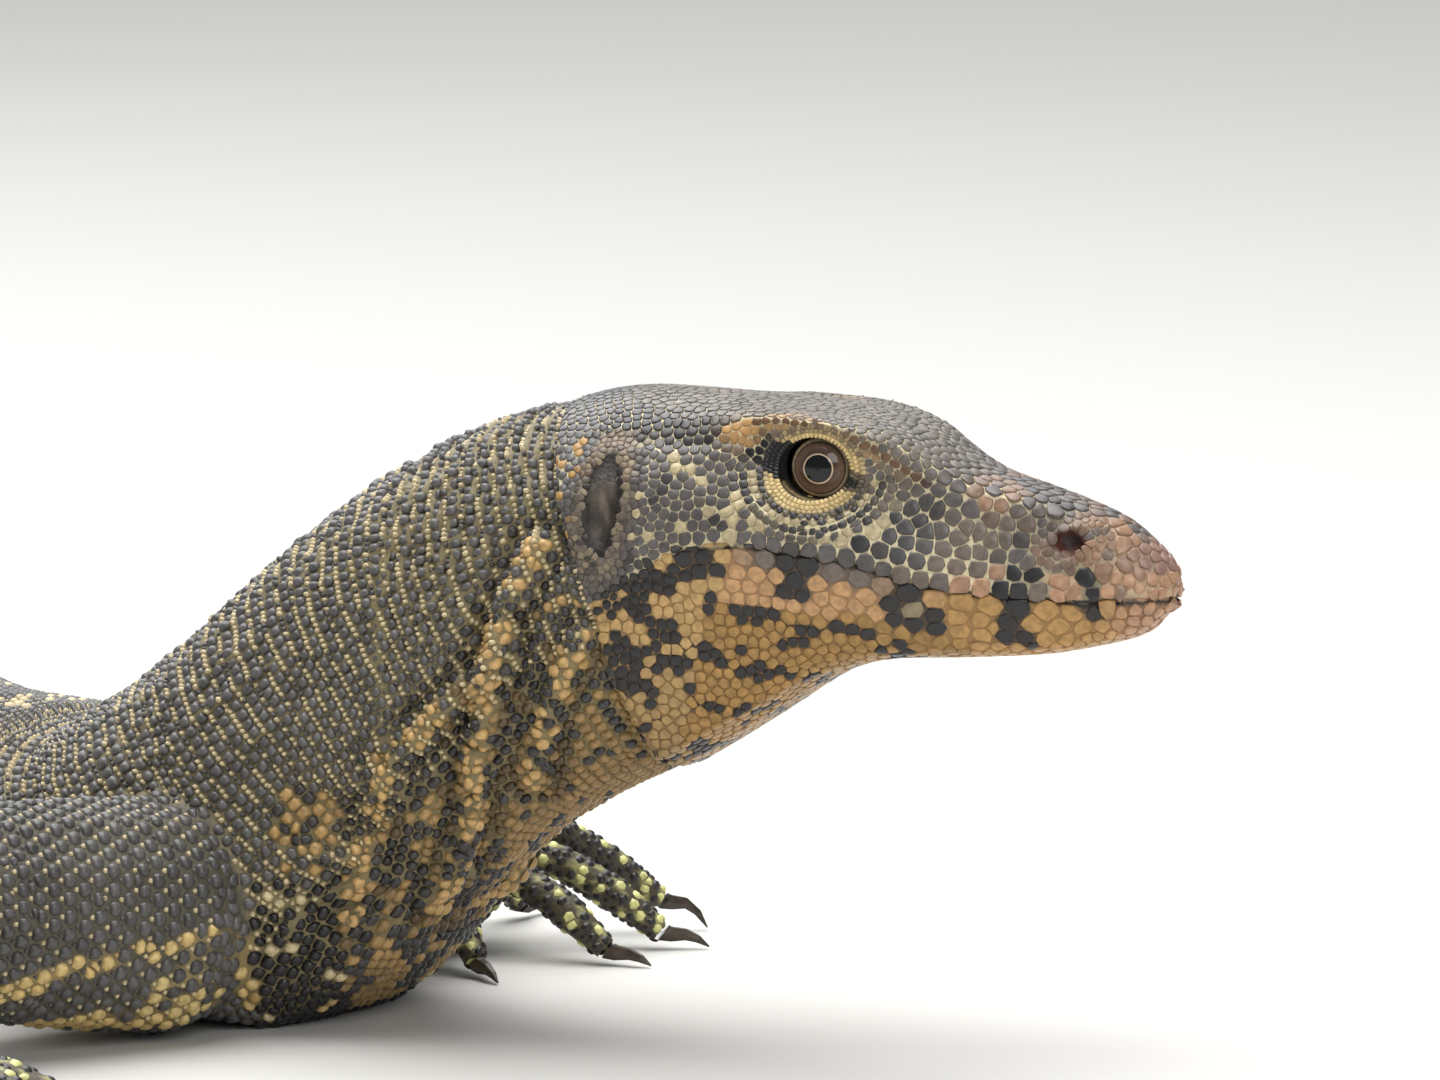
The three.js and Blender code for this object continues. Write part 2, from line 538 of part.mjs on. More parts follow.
// The left hand bears on the floor in front of the chest, its outer digits arched high.
const plantedDigits = handDigits.map((digit, i) => ({
  ...digit,
  splay: [-60, -20, 2, 20, 56][i],
  length: [23, 29, 34, 37, 26][i],
  arch: [4, 6, 8, 12, 7][i],
  tip: [2.8, 2.8, 3.2, 6, 2.8][i],
}));
const footDigits = [
  { name: 'i', across: -0.82, back: 0.36, splay: -34, length: 22, arch: 2.6, tip: 2.8 },
  { name: 'ii', across: -0.45, back: 0.1, splay: -14, length: 31, arch: 3.6, tip: 2.8 },
  { name: 'iii', across: 0, back: 0, splay: 4, length: 40, arch: 4.4, tip: 2.8 },
  { name: 'iv', across: 0.45, back: 0.06, splay: 20, length: 49, arch: 4.4, tip: 2.8 },
  { name: 'v', across: 0.86, back: 0.62, splay: 56, length: 31, arch: 2.6, tip: 2.8 },
];

// The limbs. mirror is 1 on the right and -1 on the left.
const SHOULDER = { s: 0, forward: 12, out: 33, up: 21 };
const HIP = { s: 352, out: 28, up: 30 };
const limbs = [
  {
    name: 'fore_right', upper: 'upper_arm_right', lower: 'forearm_right', end: 'hand_right', mirror: 1,
    root: beside(SHOULDER.s, SHOULDER.forward, SHOULDER.out, SHOULDER.up),
    bend: vector(-232, 2, 29), wrist: vector(-219, -42, 11), knuckles: vector(-210, -59, 6.2),
    radii: [19.5, 18, 13, 12.6, 9.4], digits: handDigits, width: 25, thick: 13, scale: 1, digitThick: 1,
  },
  {
    name: 'fore_left', upper: 'upper_arm_left', lower: 'forearm_left', end: 'hand_left', mirror: -1,
    root: beside(SHOULDER.s, SHOULDER.forward - 7, -SHOULDER.out, SHOULDER.up + 6),
    bend: vector(-164, 150, 46), wrist: vector(-141, 128, 12), knuckles: vector(-123, 127, 9.5),
    radii: [17.5, 16.5, 13, 12.4, 9.4], digits: plantedDigits, width: 25, thick: 13, scale: 1, digitThick: 1,
  },
  {
    name: 'hind_right', upper: 'thigh_right', lower: 'shank_right', end: 'foot_right', mirror: 1,
    root: beside(HIP.s, 0, HIP.out, HIP.up),
    bend: beside(HIP.s, 34, 94, 36), wrist: beside(HIP.s, -20, 118, 11), knuckles: beside(HIP.s, -6, 146, 6.4),
    radii: [21, 20, 14, 15, 9.8], digits: footDigits, width: 28, thick: 14, scale: 1, digitThick: 1.06,
  },
  {
    name: 'hind_left', upper: 'thigh_left', lower: 'shank_left', end: 'foot_left', mirror: -1,
    root: beside(HIP.s, 0, -HIP.out, HIP.up),
    bend: beside(HIP.s, 16, -98, 38), wrist: beside(HIP.s, -36, -104, 11), knuckles: beside(HIP.s, -12, -126, 6.4),
    radii: [21, 20, 14, 15, 9.8], digits: footDigits, width: 28, thick: 14, scale: 1, digitThick: 1.06,
  },
];

// Each limb is cut back from the body that it grows from.
const bodyGrown = bodyNodes.slice(0, 5)
  .map(({ from, to, step, ring }) => bodyLength(from, to, step, ring, GAP))
  .reduce((whole, length) => whole.add(length));
for (const limb of limbs) {
  const [rootRadius, upperMiddle, bendRadius, lowerMiddle, wristRadius] = limb.radii;
  limb.wristRadius = wristRadius;
  const upperWay = limb.bend.clone().sub(limb.root).normalize();
  const lowerWay = limb.wrist.clone().sub(limb.bend).normalize();
  const endWay = limb.knuckles.clone().sub(limb.wrist).normalize();
  const bendNormal = upperWay.clone().add(lowerWay).normalize();
  const wristNormal = lowerWay.clone().add(endWay).normalize();
  const bendAt = (offset) => limb.bend.clone().addScaledVector(bendNormal, offset);
  const wristAt = (offset) => limb.wrist.clone().addScaledVector(wristNormal, offset);

  const upper = limbLength(limb.root, limb.bend, rootRadius, upperMiddle, bendRadius, 1.1)
    .subtract(halfSpace(bendAt(-GAP / 2), bendNormal))
    .subtract(bodyGrown);
  const lower = limbLength(limb.bend, limb.wrist, bendRadius, lowerMiddle, wristRadius)
    .subtract(halfSpace(bendAt(GAP / 2), bendNormal.clone().negate()))
    .subtract(halfSpace(wristAt(-GAP / 2), wristNormal));
  const { palm, claws } = extremity(limb);
  const end = palm.subtract(halfSpace(wristAt(GAP / 2), wristNormal.clone().negate()));

  group.add(meshOf(limb.upper, largest(upper), SKIN_DARK));
  group.add(meshOf(limb.lower, largest(lower), SKIN_DARK));
  group.add(meshOf(limb.end, largest(end), SKIN_DARK));
  claws.forEach(([name, solid]) => group.add(meshOf(name, solid, CLAW_COLOUR, 0.35)));
}

// The origin is on the floor, under the middle of the animal's box.
const box = new THREE.Box3().setFromObject(group);
group.position.set(-(box.min.x + box.max.x) / 2, -(box.min.y + box.max.y) / 2, -box.min.z);

export default group;
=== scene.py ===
import json
import math

import bpy
import numpy as np
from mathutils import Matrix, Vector, noise
from mathutils.bvhtree import BVHTree
from mathutils.kdtree import KDTree

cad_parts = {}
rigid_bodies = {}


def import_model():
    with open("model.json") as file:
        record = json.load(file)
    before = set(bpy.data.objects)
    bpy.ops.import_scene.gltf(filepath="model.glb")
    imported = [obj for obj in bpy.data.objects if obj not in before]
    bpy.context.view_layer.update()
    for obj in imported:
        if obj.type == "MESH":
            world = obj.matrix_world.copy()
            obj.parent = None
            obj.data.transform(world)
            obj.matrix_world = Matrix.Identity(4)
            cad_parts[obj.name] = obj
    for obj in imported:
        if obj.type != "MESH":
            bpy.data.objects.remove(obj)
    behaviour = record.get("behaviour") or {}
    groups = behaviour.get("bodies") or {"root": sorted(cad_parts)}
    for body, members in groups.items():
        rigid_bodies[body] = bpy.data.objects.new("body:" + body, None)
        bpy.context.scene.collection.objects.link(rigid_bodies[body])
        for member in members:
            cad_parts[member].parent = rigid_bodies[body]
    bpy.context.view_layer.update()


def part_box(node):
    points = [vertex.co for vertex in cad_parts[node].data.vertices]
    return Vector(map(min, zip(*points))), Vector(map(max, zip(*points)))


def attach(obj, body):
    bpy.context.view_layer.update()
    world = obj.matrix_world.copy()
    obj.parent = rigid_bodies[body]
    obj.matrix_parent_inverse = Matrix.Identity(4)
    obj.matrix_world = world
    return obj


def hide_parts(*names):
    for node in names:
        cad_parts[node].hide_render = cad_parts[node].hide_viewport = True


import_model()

# Camera: a long lens 1.6 m from the tip of the snout, looking across the head from the animal's right and
# a little down. The middle of the view lies behind the snout and a little over it.
SNOUT_TIP = Vector((0.65845, -0.18187, 0.085))
LOOK_DOWN = math.radians(7.5)
CAMERA_AWAY = 1.6
MIDDLE_BEHIND_SNOUT = 0.0783
MIDDLE_OVER_SNOUT = 0.00746
across_view = Vector((1, 0, 0))
up_view = Vector((0, math.sin(LOOK_DOWN), math.cos(LOOK_DOWN)))
into_view = Vector((0, math.cos(LOOK_DOWN), -math.sin(LOOK_DOWN)))
view_middle = SNOUT_TIP - MIDDLE_BEHIND_SNOUT * across_view + MIDDLE_OVER_SNOUT * up_view
camera_data = bpy.data.cameras.new("camera")
camera_data.sensor_width = 36
camera_data.lens = 236
camera_data.clip_start = 0.05
camera_data.clip_end = 50
camera = bpy.data.objects.new("camera", camera_data)
camera.location = view_middle - CAMERA_AWAY * into_view
camera.rotation_euler = (math.radians(90) - LOOK_DOWN, 0, 0)
bpy.context.scene.collection.objects.link(camera)
bpy.context.scene.camera = camera


# Floor: a plain pale studio floor that runs past the view on every side. It is painted board, matt and a
# little uneven, and belongs to the stage.
def srgb(red, green, blue):
    scaled = np.array([red, green, blue]) / 255
    return tuple(np.where(scaled <= 0.04045, scaled / 12.92, ((scaled + 0.055) / 1.055) ** 2.4))


def link(obj):
    bpy.context.scene.collection.objects.link(obj)
    return obj


def new_material(name, roughness=0.5):
    material = bpy.data.materials.new(name)
    material.use_nodes = True
    shader = material.node_tree.nodes["Principled BSDF"]
    shader.inputs["Roughness"].default_value = roughness
    return material, material.node_tree, shader


FLOOR_REACH = 9
floor_corners = [(x * FLOOR_REACH, y * FLOOR_REACH, 0) for x, y in ((-1, -1), (1, -1), (1, 1), (-1, 1))]
floor_mesh = bpy.data.meshes.new("floor")
floor_mesh.from_pydata(floor_corners, [], [(0, 1, 2, 3)])
floor = link(bpy.data.objects.new("floor", floor_mesh))
floor_material, floor_tree, floor_shader = new_material("floor", 0.75)
floor_shader.inputs["Base Color"].default_value = (*srgb(206, 204, 199), 1)
floor_grain = floor_tree.nodes.new("ShaderNodeTexNoise")
floor_grain.inputs["Scale"].default_value = 60
floor_bump = floor_tree.nodes.new("ShaderNodeBump")
floor_bump.inputs["Strength"].default_value = 0.03
floor_tree.links.new(floor_grain.outputs["Fac"], floor_bump.inputs["Height"])
floor_tree.links.new(floor_bump.outputs["Normal"], floor_shader.inputs["Normal"])
floor_mesh.materials.append(floor_material)

# Light: a broad soft panel overhead, weaker ones in front of the animal and behind it, a far one for the
# floor at the back, and a pale sky.
for name, place, energy, size, aim in (
    ("top_light", (0.35, -0.05, 1.5), 37, 1.5, (0.45, -0.1, 0)),
    ("front_light", (1.2, -1.5, 0.9), 9, 0.9, (0.55, -0.15, 0.06)),
    ("back_light", (-0.3, 1.3, 1.2), 10, 1.0, (0.4, 0, 0.05)),
    ("far_light", (0.6, 3.2, 2.6), 48, 2.6, (0.6, 2.4, 0)),
):
    light_data = bpy.data.lights.new(name, "AREA")
    light_data.energy = energy
    light_data.size = size
    light = link(bpy.data.objects.new(name, light_data))
    light.location = place
    light.rotation_euler = (Vector(aim) - Vector(place)).to_track_quat("-Z", "Y").to_euler()
sky = bpy.data.worlds.new("sky")
sky.use_nodes = True
sky.node_tree.nodes["Background"].inputs["Color"].default_value = (*srgb(226, 232, 240), 1)
sky.node_tree.nodes["Background"].inputs["Strength"].default_value = 0.38
bpy.context.scene.world = sky
bpy.context.scene.view_settings.view_transform = "Standard"


# Build of the animal, in mm and degrees: the head's axes (u forward from the tip of the snout, w to its
# right, v up) and the spine, with s the distance along it behind the base of the neck. Every piece below
# finds its place by these, so that skin, scales and colours follow the body as it bends.
MM = 0.001
SPINE_ORIGIN = np.array([658.445, -181.867, 0])
HEAD_HEIGHT = 85
HEAD_HEADING = math.radians(20)
HEAD_PITCH = math.radians(-3)
head_ahead = np.array([
    math.cos(HEAD_HEADING) * math.cos(HEAD_PITCH),
    -math.sin(HEAD_HEADING) * math.cos(HEAD_PITCH),
    math.sin(HEAD_PITCH),
])
head_right = np.array([-math.sin(HEAD_HEADING), -math.cos(HEAD_HEADING), 0])
head_up = np.cross(head_right, head_ahead)
head_origin = SPINE_ORIGIN + np.array([0, 0, HEAD_HEIGHT])


def from_head(u, w, v):
    u, w, v = np.broadcast_arrays(*(np.asarray(x, float) for x in (u, w, v)))
    offset = u[..., None] * head_ahead + w[..., None] * head_right + v[..., None] * head_up
    return (head_origin + offset) * MM


def to_head(points):
    offset = points / MM - head_origin
    return offset @ head_ahead, offset @ head_right, offset @ head_up


def through(*pairs):
    """A smooth curve through the pairs, with no overshoot between them."""
    xs, ys = np.array(pairs, float).T
    slopes = np.diff(ys) / np.diff(xs)
    same_way = slopes[:-1] * slopes[1:] > 0
    safe = np.where(same_way, slopes[:-1] + slopes[1:], 1)
    inner = np.where(same_way, 2 * slopes[:-1] * slopes[1:] / safe, 0)
    tangents = np.concatenate([[slopes[0]], inner, [slopes[-1]]])

    def at(place):
        place = np.clip(place, xs[0], xs[-1])
        i = np.clip(np.searchsorted(xs, place) - 1, 0, len(xs) - 2)
        span = xs[i + 1] - xs[i]
        t = (place - xs[i]) / span
        rise = (2 * t**3 - 3 * t**2 + 1) * ys[i] + (3 * t**2 - 2 * t**3) * ys[i + 1]
        return rise + ((t**3 - 2 * t**2 + t) * tangents[i] + (t**3 - t**2) * tangents[i + 1]) * span

    return at


NECK_START, VENT, TAIL_END = -119, 400, 1298
neck_s = (-119, -104.4, -91.5, -68.5, -47.5, -23.8, 0)
neck_x = through(*zip(neck_s, (-79.5, -92.4, -104.3, -123.2, -137.4, -151.8, -165.5)))
neck_y = through(*zip(neck_s, (28.9, 33.6, 38.2, 47, 54.9, 64.2, 74.2)))
spine_z = through(
    *zip(neck_s, (86.1, 81.4, 77, 65.3, 52.3, 36.4, 24.5)),
    (35, 24), (77, 25.6), (103, 27), (130, 28.6), (190, 31), (250, 32), (310, 31), (350, 29), (400, 25.6),
    (440, 23), (500, 20.6), (700, 16.2), (1000, 9.6), (1260, 2.6), (1300, 0.8),
)
spine_turn = through(
    *zip(neck_s, (20, 20.5, 23, 27, 30, 34, 37)),
    (60, 41), (130, 45), (240, 46), (330, 40), (400, 32), (480, 20), (640, -6), (820, -24), (960, -20),
    (1100, 4), (1220, 22), (1300, 27),
)
spine_lean = through(
    *zip(neck_s, (17, 18.6, 22, 32, 43, 49, 50)),
    (35, 38), (55, 30), (77, 20), (103, 10), (130, 3), (180, 0), (1300, 0),
)
half_high = through(
    *zip(neck_s, (30.5, 32.5, 34, 34.4, 34.6, 36.2, 38)),
    (35, 32), (55, 29), (77, 27.4), (130, 29.4), (190, 32), (250, 33), (310, 32), (350, 30), (400, 26.4),
    (500, 21), (700, 16.6), (1000, 10), (1150, 6.2), (1260, 3), (1300, 1),
)
half_wide = through(
    *zip(neck_s, (25.4, 26.2, 27, 28.3, 30, 33.5, 37.5)),
    (35, 42), (77, 47), (130, 55), (190, 60.5), (250, 60), (310, 52), (350, 43.5), (400, 33), (440, 26),
    (500, 20), (600, 14.6), (850, 8.8), (1000, 6.4), (1150, 4), (1260, 2.2), (1300, 0.7),
)
spine_s = np.arange(NECK_START, TAIL_END + 1.0)
turn = np.radians(spine_turn(spine_s))
spine_ahead = np.stack([np.cos(turn), -np.sin(turn), 0 * turn], 1)
spine_right = np.stack([-np.sin(turn), -np.cos(turn), 0 * turn], 1)
tilt = np.radians(spine_lean(spine_s))[:, None]
spine_up = np.cos(tilt) * np.array([0, 0, 1]) - np.sin(tilt) * spine_ahead
behind_neck = spine_s > 0
spine_at = np.stack([neck_x(spine_s), neck_y(spine_s), spine_z(spine_s)], 1)
spine_at[behind_neck, :2] = spine_at[~behind_neck][-1, :2] - np.cumsum(spine_ahead[behind_neck, :2], 0)
spine_at = (spine_at + SPINE_ORIGIN) * MM


def spine_index(s):
    """Number of the place on the spine that a distance along it falls on."""
    return np.clip((np.asarray(s) - NECK_START).astype(int), 0, len(spine_s) - 1)


def to_spine(points):
    """Distance along the spine in mm, angle from the top of the body in degrees (right is positive)."""
    coarse_step, block_size = 12, 8000
    s = np.empty(len(points))
    angle = np.empty(len(points))
    coarse = np.arange(0, len(spine_s), coarse_step)
    fine = np.arange(-coarse_step, coarse_step + 1)
    for start in range(0, len(points), block_size):
        part = slice(start, start + block_size)
        block = points[part]
        rough = coarse[((block[:, None, :] - spine_at[coarse][None]) ** 2).sum(2).argmin(1)]
        around = np.clip(rough[:, None] + fine[None], 0, len(spine_s) - 1)
        nearest = ((block[:, None, :] - spine_at[around]) ** 2).sum(2).argmin(1)
        k = around[np.arange(len(block)), nearest]
        offset = block - spine_at[k]
        s[part] = spine_s[k] - (offset * spine_ahead[k]).sum(1) * np.cos(tilt[k, 0]) / MM
        rightward = (offset * spine_right[k]).sum(1)
        upward = (offset * spine_up[k]).sum(1)
        angle[part] = np.degrees(np.arctan2(rightward, upward))
    return s, angle


# Skin: one hide over the whole body, made from the flesh of the frame, with its folds, lids and lips. It
# lies under the surface by the height of the scales that it carries, and is finer on the head.
def mesh_arrays(mesh):
    points = np.empty(len(mesh.vertices) * 3)
    mesh.vertices.foreach_get("co", points)
    mesh.calc_loop_triangles()
    triangles = np.empty(len(mesh.loop_triangles) * 3, np.int32)
    mesh.loop_triangles.foreach_get("vertices", triangles)
    return points.reshape(-1, 3), triangles.reshape(-1, 3)


def build_mesh(name, points, triangles):
    mesh = bpy.data.meshes.new(name)
    mesh.vertices.add(len(points))
    mesh.vertices.foreach_set("co", points.ravel())
    mesh.loops.add(triangles.size)
    mesh.loops.foreach_set("vertex_index", triangles.ravel())
    mesh.polygons.add(len(triangles))
    mesh.polygons.foreach_set("loop_start", np.arange(0, triangles.size, 3, dtype=np.int32))
    mesh.update(calc_edges=True)
    mesh.shade_smooth()
    return mesh


def corner_sums(values, triangles, count):
    sums = np.zeros((count, values.shape[1]))
    for corner in range(3):
        for axis in range(values.shape[1]):
            sums[:, axis] += np.bincount(triangles[:, corner], values[:, axis], count)
    return sums


def normals_of(points, triangles):
    a, b, c = (points[triangles[:, k]] for k in range(3))
    sums = corner_sums(np.cross(b - a, c - a), triangles, len(points))
    return sums / np.maximum(np.linalg.norm(sums, axis=1, keepdims=True), 1e-20)


def smoothed(points, triangles, rounds):
    """Rounds of smoothing that keep the volume."""
    first = triangles[:, [0, 1, 2]].ravel()
    second = triangles[:, [1, 2, 0]].ravel()
    degree = np.bincount(first, minlength=len(points))[:, None]
    for number in range(2 * rounds):
        sums = [np.bincount(first, points[second, axis], len(points)) for axis in range(3)]
        mean = np.stack(sums, 1) / degree
        points = points + (mean - points) * (0.5 if number % 2 == 0 else -0.51)
    return points


def finished(form, modifier_name, modifier_kind, **settings):
    """Arrays of the form's mesh after the modifier; the form itself is removed."""
    modifier = form.modifiers.new(modifier_name, modifier_kind)
    for setting, value in settings.items():
        setattr(modifier, setting, value)
    made = bpy.data.meshes.new_from_object(form.evaluated_get(bpy.context.evaluated_depsgraph_get()))
    result = mesh_arrays(made)
    bpy.data.objects.remove(form)
    return result


def joined(nodes, swell):
    """Arrays of the nodes of the frame together, each swollen a little along its normals."""
    blocks = []
    faces = []
    count = 0
    for node in nodes:
        points, triangles = mesh_arrays(bpy.data.objects[node].data)
        blocks.append(points + normals_of(points, triangles) * swell)
        faces.append(triangles + count)
        count += len(points)
    return np.vstack(blocks), np.vstack(faces)


def remeshed(nodes, voxel, swell):
    form = link(bpy.data.objects.new("form", build_mesh("form", *joined(nodes, swell))))
    return finished(form, "remesh", "REMESH", mode="VOXEL", voxel_size=voxel)


def thinned(points, triangles, wanted):
    """Collapses edges where the surface is plain, to about the wanted number of triangles."""
    form = link(bpy.data.objects.new("form", build_mesh("form", points, triangles)))
    return finished(form, "decimate", "DECIMATE", ratio=min(1, wanted / len(triangles)))


def kept(points, triangles, mask):
    """The triangles whose three corners are all in the mask."""
    triangles = triangles[mask[triangles].all(1)]
    used = np.unique(triangles)
    place = np.zeros(len(points), np.int32)
    place[used] = np.arange(len(used))
    return points[used], place[triangles].astype(np.int32)


def on_both_sides(*names):
    return [f"{name}_{side}" for name in names for side in ("right", "left")]


head_nodes = ["head", "lower_jaw"]
trunk_nodes = ["neck", "torso_front", "torso_rear", "pelvis"] + [f"tail_{i}" for i in range(1, 6)]
arm_nodes = on_both_sides("upper_arm", "forearm", "thigh", "shank")
hand_nodes = on_both_sides("hand", "foot")
flesh = head_nodes + trunk_nodes + arm_nodes + hand_nodes

SWELL = 0.35 * MM  # closes the gaps between the nodes
BODY_VOXEL, HEAD_VOXEL = 1.15 * MM, 0.68 * MM
BODY_TRIANGLES, HEAD_TRIANGLES = 92000, 98000
body_points, body_triangles = remeshed(flesh, BODY_VOXEL, SWELL)
body_points = smoothed(body_points, body_triangles, 7)
head_points, head_triangles = remeshed(head_nodes + ["neck"], HEAD_VOXEL, SWELL)
head_points = smoothed(head_points, head_triangles, 2)

# the joint of head and neck is smoothed away, but for the rim of the ear
EAR_U, EAR_V, EAR_LONG, EAR_HIGH = -96.4, 7.2, 3.3, 8.2
JOINT_U, JOINT_V, JOINT_LEAN = -98.4, -1, math.radians(18)
blurred = smoothed(head_points, head_triangles, 60)
u, _, v = to_head(head_points)
from_joint = (u - JOINT_U) * math.cos(JOINT_LEAN) + (v - JOINT_V) * math.sin(JOINT_LEAN)
from_ear = np.clip((np.hypot((u - EAR_U) / 5, (v - EAR_V) / 11) - 1) / 0.8, 0, 1)
amount = np.exp(-((from_joint / 11) ** 2)) * from_ear
head_points = head_points + (blurred - head_points) * amount[:, None]

# the finer skin of the head meets that of the body on the neck
HEAD_SEAM = -66
SEAM_OVERLAP = 3
NECK_ONLY_U = -100
head_s, _ = to_spine(head_points)
head_u, _, _ = to_head(head_points)
head_part = (head_s < HEAD_SEAM) | (head_u > NECK_ONLY_U)
head_points, head_triangles = kept(head_points, head_triangles, head_part)
body_s, _ = to_spine(body_points)
body_u, _, _ = to_head(body_points)
body_part = (body_s > HEAD_SEAM - SEAM_OVERLAP) & (body_u < NECK_ONLY_U)
body_points, body_triangles = kept(body_points, body_triangles, body_part)
body_points, body_triangles = thinned(body_points, body_triangles, BODY_TRIANGLES)
head_points, head_triangles = thinned(head_points, head_triangles, HEAD_TRIANGLES)

# which node of the flesh each place belongs to
owner_points, owner_faces = joined(flesh, 0)
owner_tree = BVHTree.FromPolygons(owner_points.tolist(), owner_faces.tolist())
owner_of_face = []
for index, node in enumerate(flesh):
    owner_of_face += [index] * len(mesh_arrays(bpy.data.objects[node].data)[1])


def owners(points):
    return np.array([owner_of_face[owner_tree.find_nearest(Vector(p))[2]] for p in points])


HEAD_SET, TRUNK_SET, ARM_SET, HAND_SET = (
    {flesh.index(node) for node in nodes} for nodes in (head_nodes, trunk_nodes, arm_nodes, hand_nodes)
)


def within(index, names):
    return np.isin(index, list(names))


def coat_depth(owner, s):
    """Depth of the skin under the surface, which is the height of the scales there."""
    depth = np.where(within(owner, HEAD_SET), 0.35, 0.62)
    depth = np.where(within(owner, HAND_SET), 0.45, depth)
    tail = within(owner, TRUNK_SET) & (s > VENT)
    depth = np.where(tail, np.clip(half_wide(s) * 0.045, 0.1, 0.62), depth)
    neck = within(owner, TRUNK_SET) & (s < 90)
    return np.where(neck, np.interp(s, (-112, -85), (0.35, 0.8)), depth)


EYE_U, EYE_W, EYE_V, EYE_RADIUS = -61, 11.1, 16, 6.3
LID_LONG, LID_HIGH = 7.3, 6.3
NOSTRIL_U, NOSTRIL_V, NOSTRIL_LONG, NOSTRIL_HIGH = -17.3, 6.6, 3.3, 2.2
EYE_SIDE, EAR_SIDE, NOSTRIL_SIDE = 8, 17, 4  # least distances from the middle plane
MOUTH_CORNER = -84
mouth_line = through(
    (0.6, -2.6), (8.6, -3.1), (15.5, -3.7), (22, -3.6), (30, -3.4), (37, -2.9), (44.5, -1.6), (52, 0.3),
    (62, 1.6), (71.5, 2.2), (80, 1), (88, -3), (97, -10), (113, -20),
)


def lid_oval(u, v):
    """1 on the rim of the opening between the lids, less inside it, more outside."""
    return np.hypot((u - EYE_U) / LID_LONG, (v - EYE_V) / LID_HIGH)


def ear_oval(u, v):
    return np.hypot((u - EAR_U) / EAR_LONG, (v - EAR_V) / EAR_HIGH)


def nostril_oval(u, v):
    return np.hypot((u - NOSTRIL_U) / NOSTRIL_LONG, (v - NOSTRIL_V) / NOSTRIL_HIGH)


def over_mouth(u, v):
    """Height over the line of the mouth, in mm."""
    return v - mouth_line(np.clip(-u, 0.6, 113))


def bump_at(distance, width):
    return np.exp(-((distance / width) ** 2))


def sculpted(points):
    """Folds of the head, as heights in mm along the normals."""
    u, w, v = to_head(points)
    side = np.abs(w)
    rise = np.zeros(len(points))
    # the line of the mouth, between two soft lips, up to its corner behind the eye
    mouth = over_mouth(u, v)
    mouth_reach = np.clip((u - MOUTH_CORNER) / 6, 0, 1)
    rise -= 1.1 * bump_at(mouth, 0.42) * mouth_reach
    rise += 0.28 * (bump_at(mouth - 1.5, 1.0) + bump_at(mouth + 1.5, 1.0)) * mouth_reach
    # lids and the rings of folds round them
    around = lid_oval(u, v)
    facing = np.clip(side / 4, 0, 1) * (side > EYE_SIDE)
    below = np.clip((EYE_V + 1 - v) / 4, 0, 1)
    lid_folds = ((1.13, -0.4), (1.24, 0.25), (1.36, -0.35), (1.49, 0.22), (1.62, -0.3), (1.76, 0.16))
    for ring, height in lid_folds:
        reach = below if height < 0 or ring > 1.3 else 1
        rise += height * bump_at(around - ring, 0.05) * facing * reach
    # rim of the nostril
    slant = math.radians(-35)
    nose_u, nose_v = u - NOSTRIL_U, v - NOSTRIL_V
    along = nose_u * math.cos(slant) - nose_v * math.sin(slant)
    aside = nose_u * math.sin(slant) + nose_v * math.cos(slant)
    nostril = np.hypot(along / 3.2, aside / 1.9)
    rise += 0.55 * bump_at(nostril - 1.35, 0.28) * (side > 5)
    # rim of the ear and the fine wrinkles about it
    ear = ear_oval(u, v)
    at_ear = side > EAR_SIDE
    rise += 0.5 * bump_at(ear - 1.25, 0.22) * at_ear
    rise += 0.12 * np.sin(ear * 26) * bump_at(ear - 1.9, 0.6) * at_ear
    # the crease that runs back from the eye above the temple
    rise -= 0.5 * bump_at(v - (19.5 + 0.06 * (u + 75)), 1.1) * bump_at(u + 84, 13) * at_ear
    return rise * MM


# folds of skin on the side of the neck: how high each is, and its places (x, z) seen from the side
DEEP_FOLD, LOW_FOLD = 2.3, 1.4
SIDE_FOLDS = (
    (DEEP_FOLD, ((549, 90), (543, 78), (540, 68), (531, 59), (523, 51), (519.5, 38), (516, 22))),
    (DEEP_FOLD, ((543, 74), (539.5, 63), (537.5, 50), (537, 38), (531, 22))),
    (LOW_FOLD, ((556, 74), (551, 62), (548, 48))),
    (LOW_FOLD, ((510, 40), (507, 28), (505, 16))),
)


def polyline_distance(x, z, line):
    best = np.full(len(x), 1e3)
    for (x0, z0), (x1, z1) in zip(line, line[1:]):
        span = (x1 - x0) ** 2 + (z1 - z0) ** 2
        t = np.clip(((x - x0) * (x1 - x0) + (z - z0) * (z1 - z0)) / span, 0, 1)
        best = np.minimum(best, np.hypot(x - x0 - t * (x1 - x0), z - z0 - t * (z1 - z0)))
    return best


def side_view(points, s, angle):
    """Place on the right side seen square on; the left side is folded onto it along the spine."""
    k = spine_index(s)
    rightward = ((points - spine_at[k]) * spine_right[k]).sum(1)
    mirrored = points - 2 * np.minimum(rightward, 0)[:, None] * spine_right[k]
    return np.where(angle >= 0, points[:, 0], mirrored[:, 0]) / MM, points[:, 2] / MM


def neck_folds(points, s, angle):
    x, z = side_view(points, s, angle)
    rise = np.zeros(len(points))
    flank = np.clip((np.abs(angle) - 40) / 20, 0, 1) * (s < 30)
    for height, line in SIDE_FOLDS:
        distance = polyline_distance(x, z, line)
        rise += height * (bump_at(distance, 1.8) - 0.7 * bump_at(distance - 3.8, 1.5)) * flank
    return rise * MM


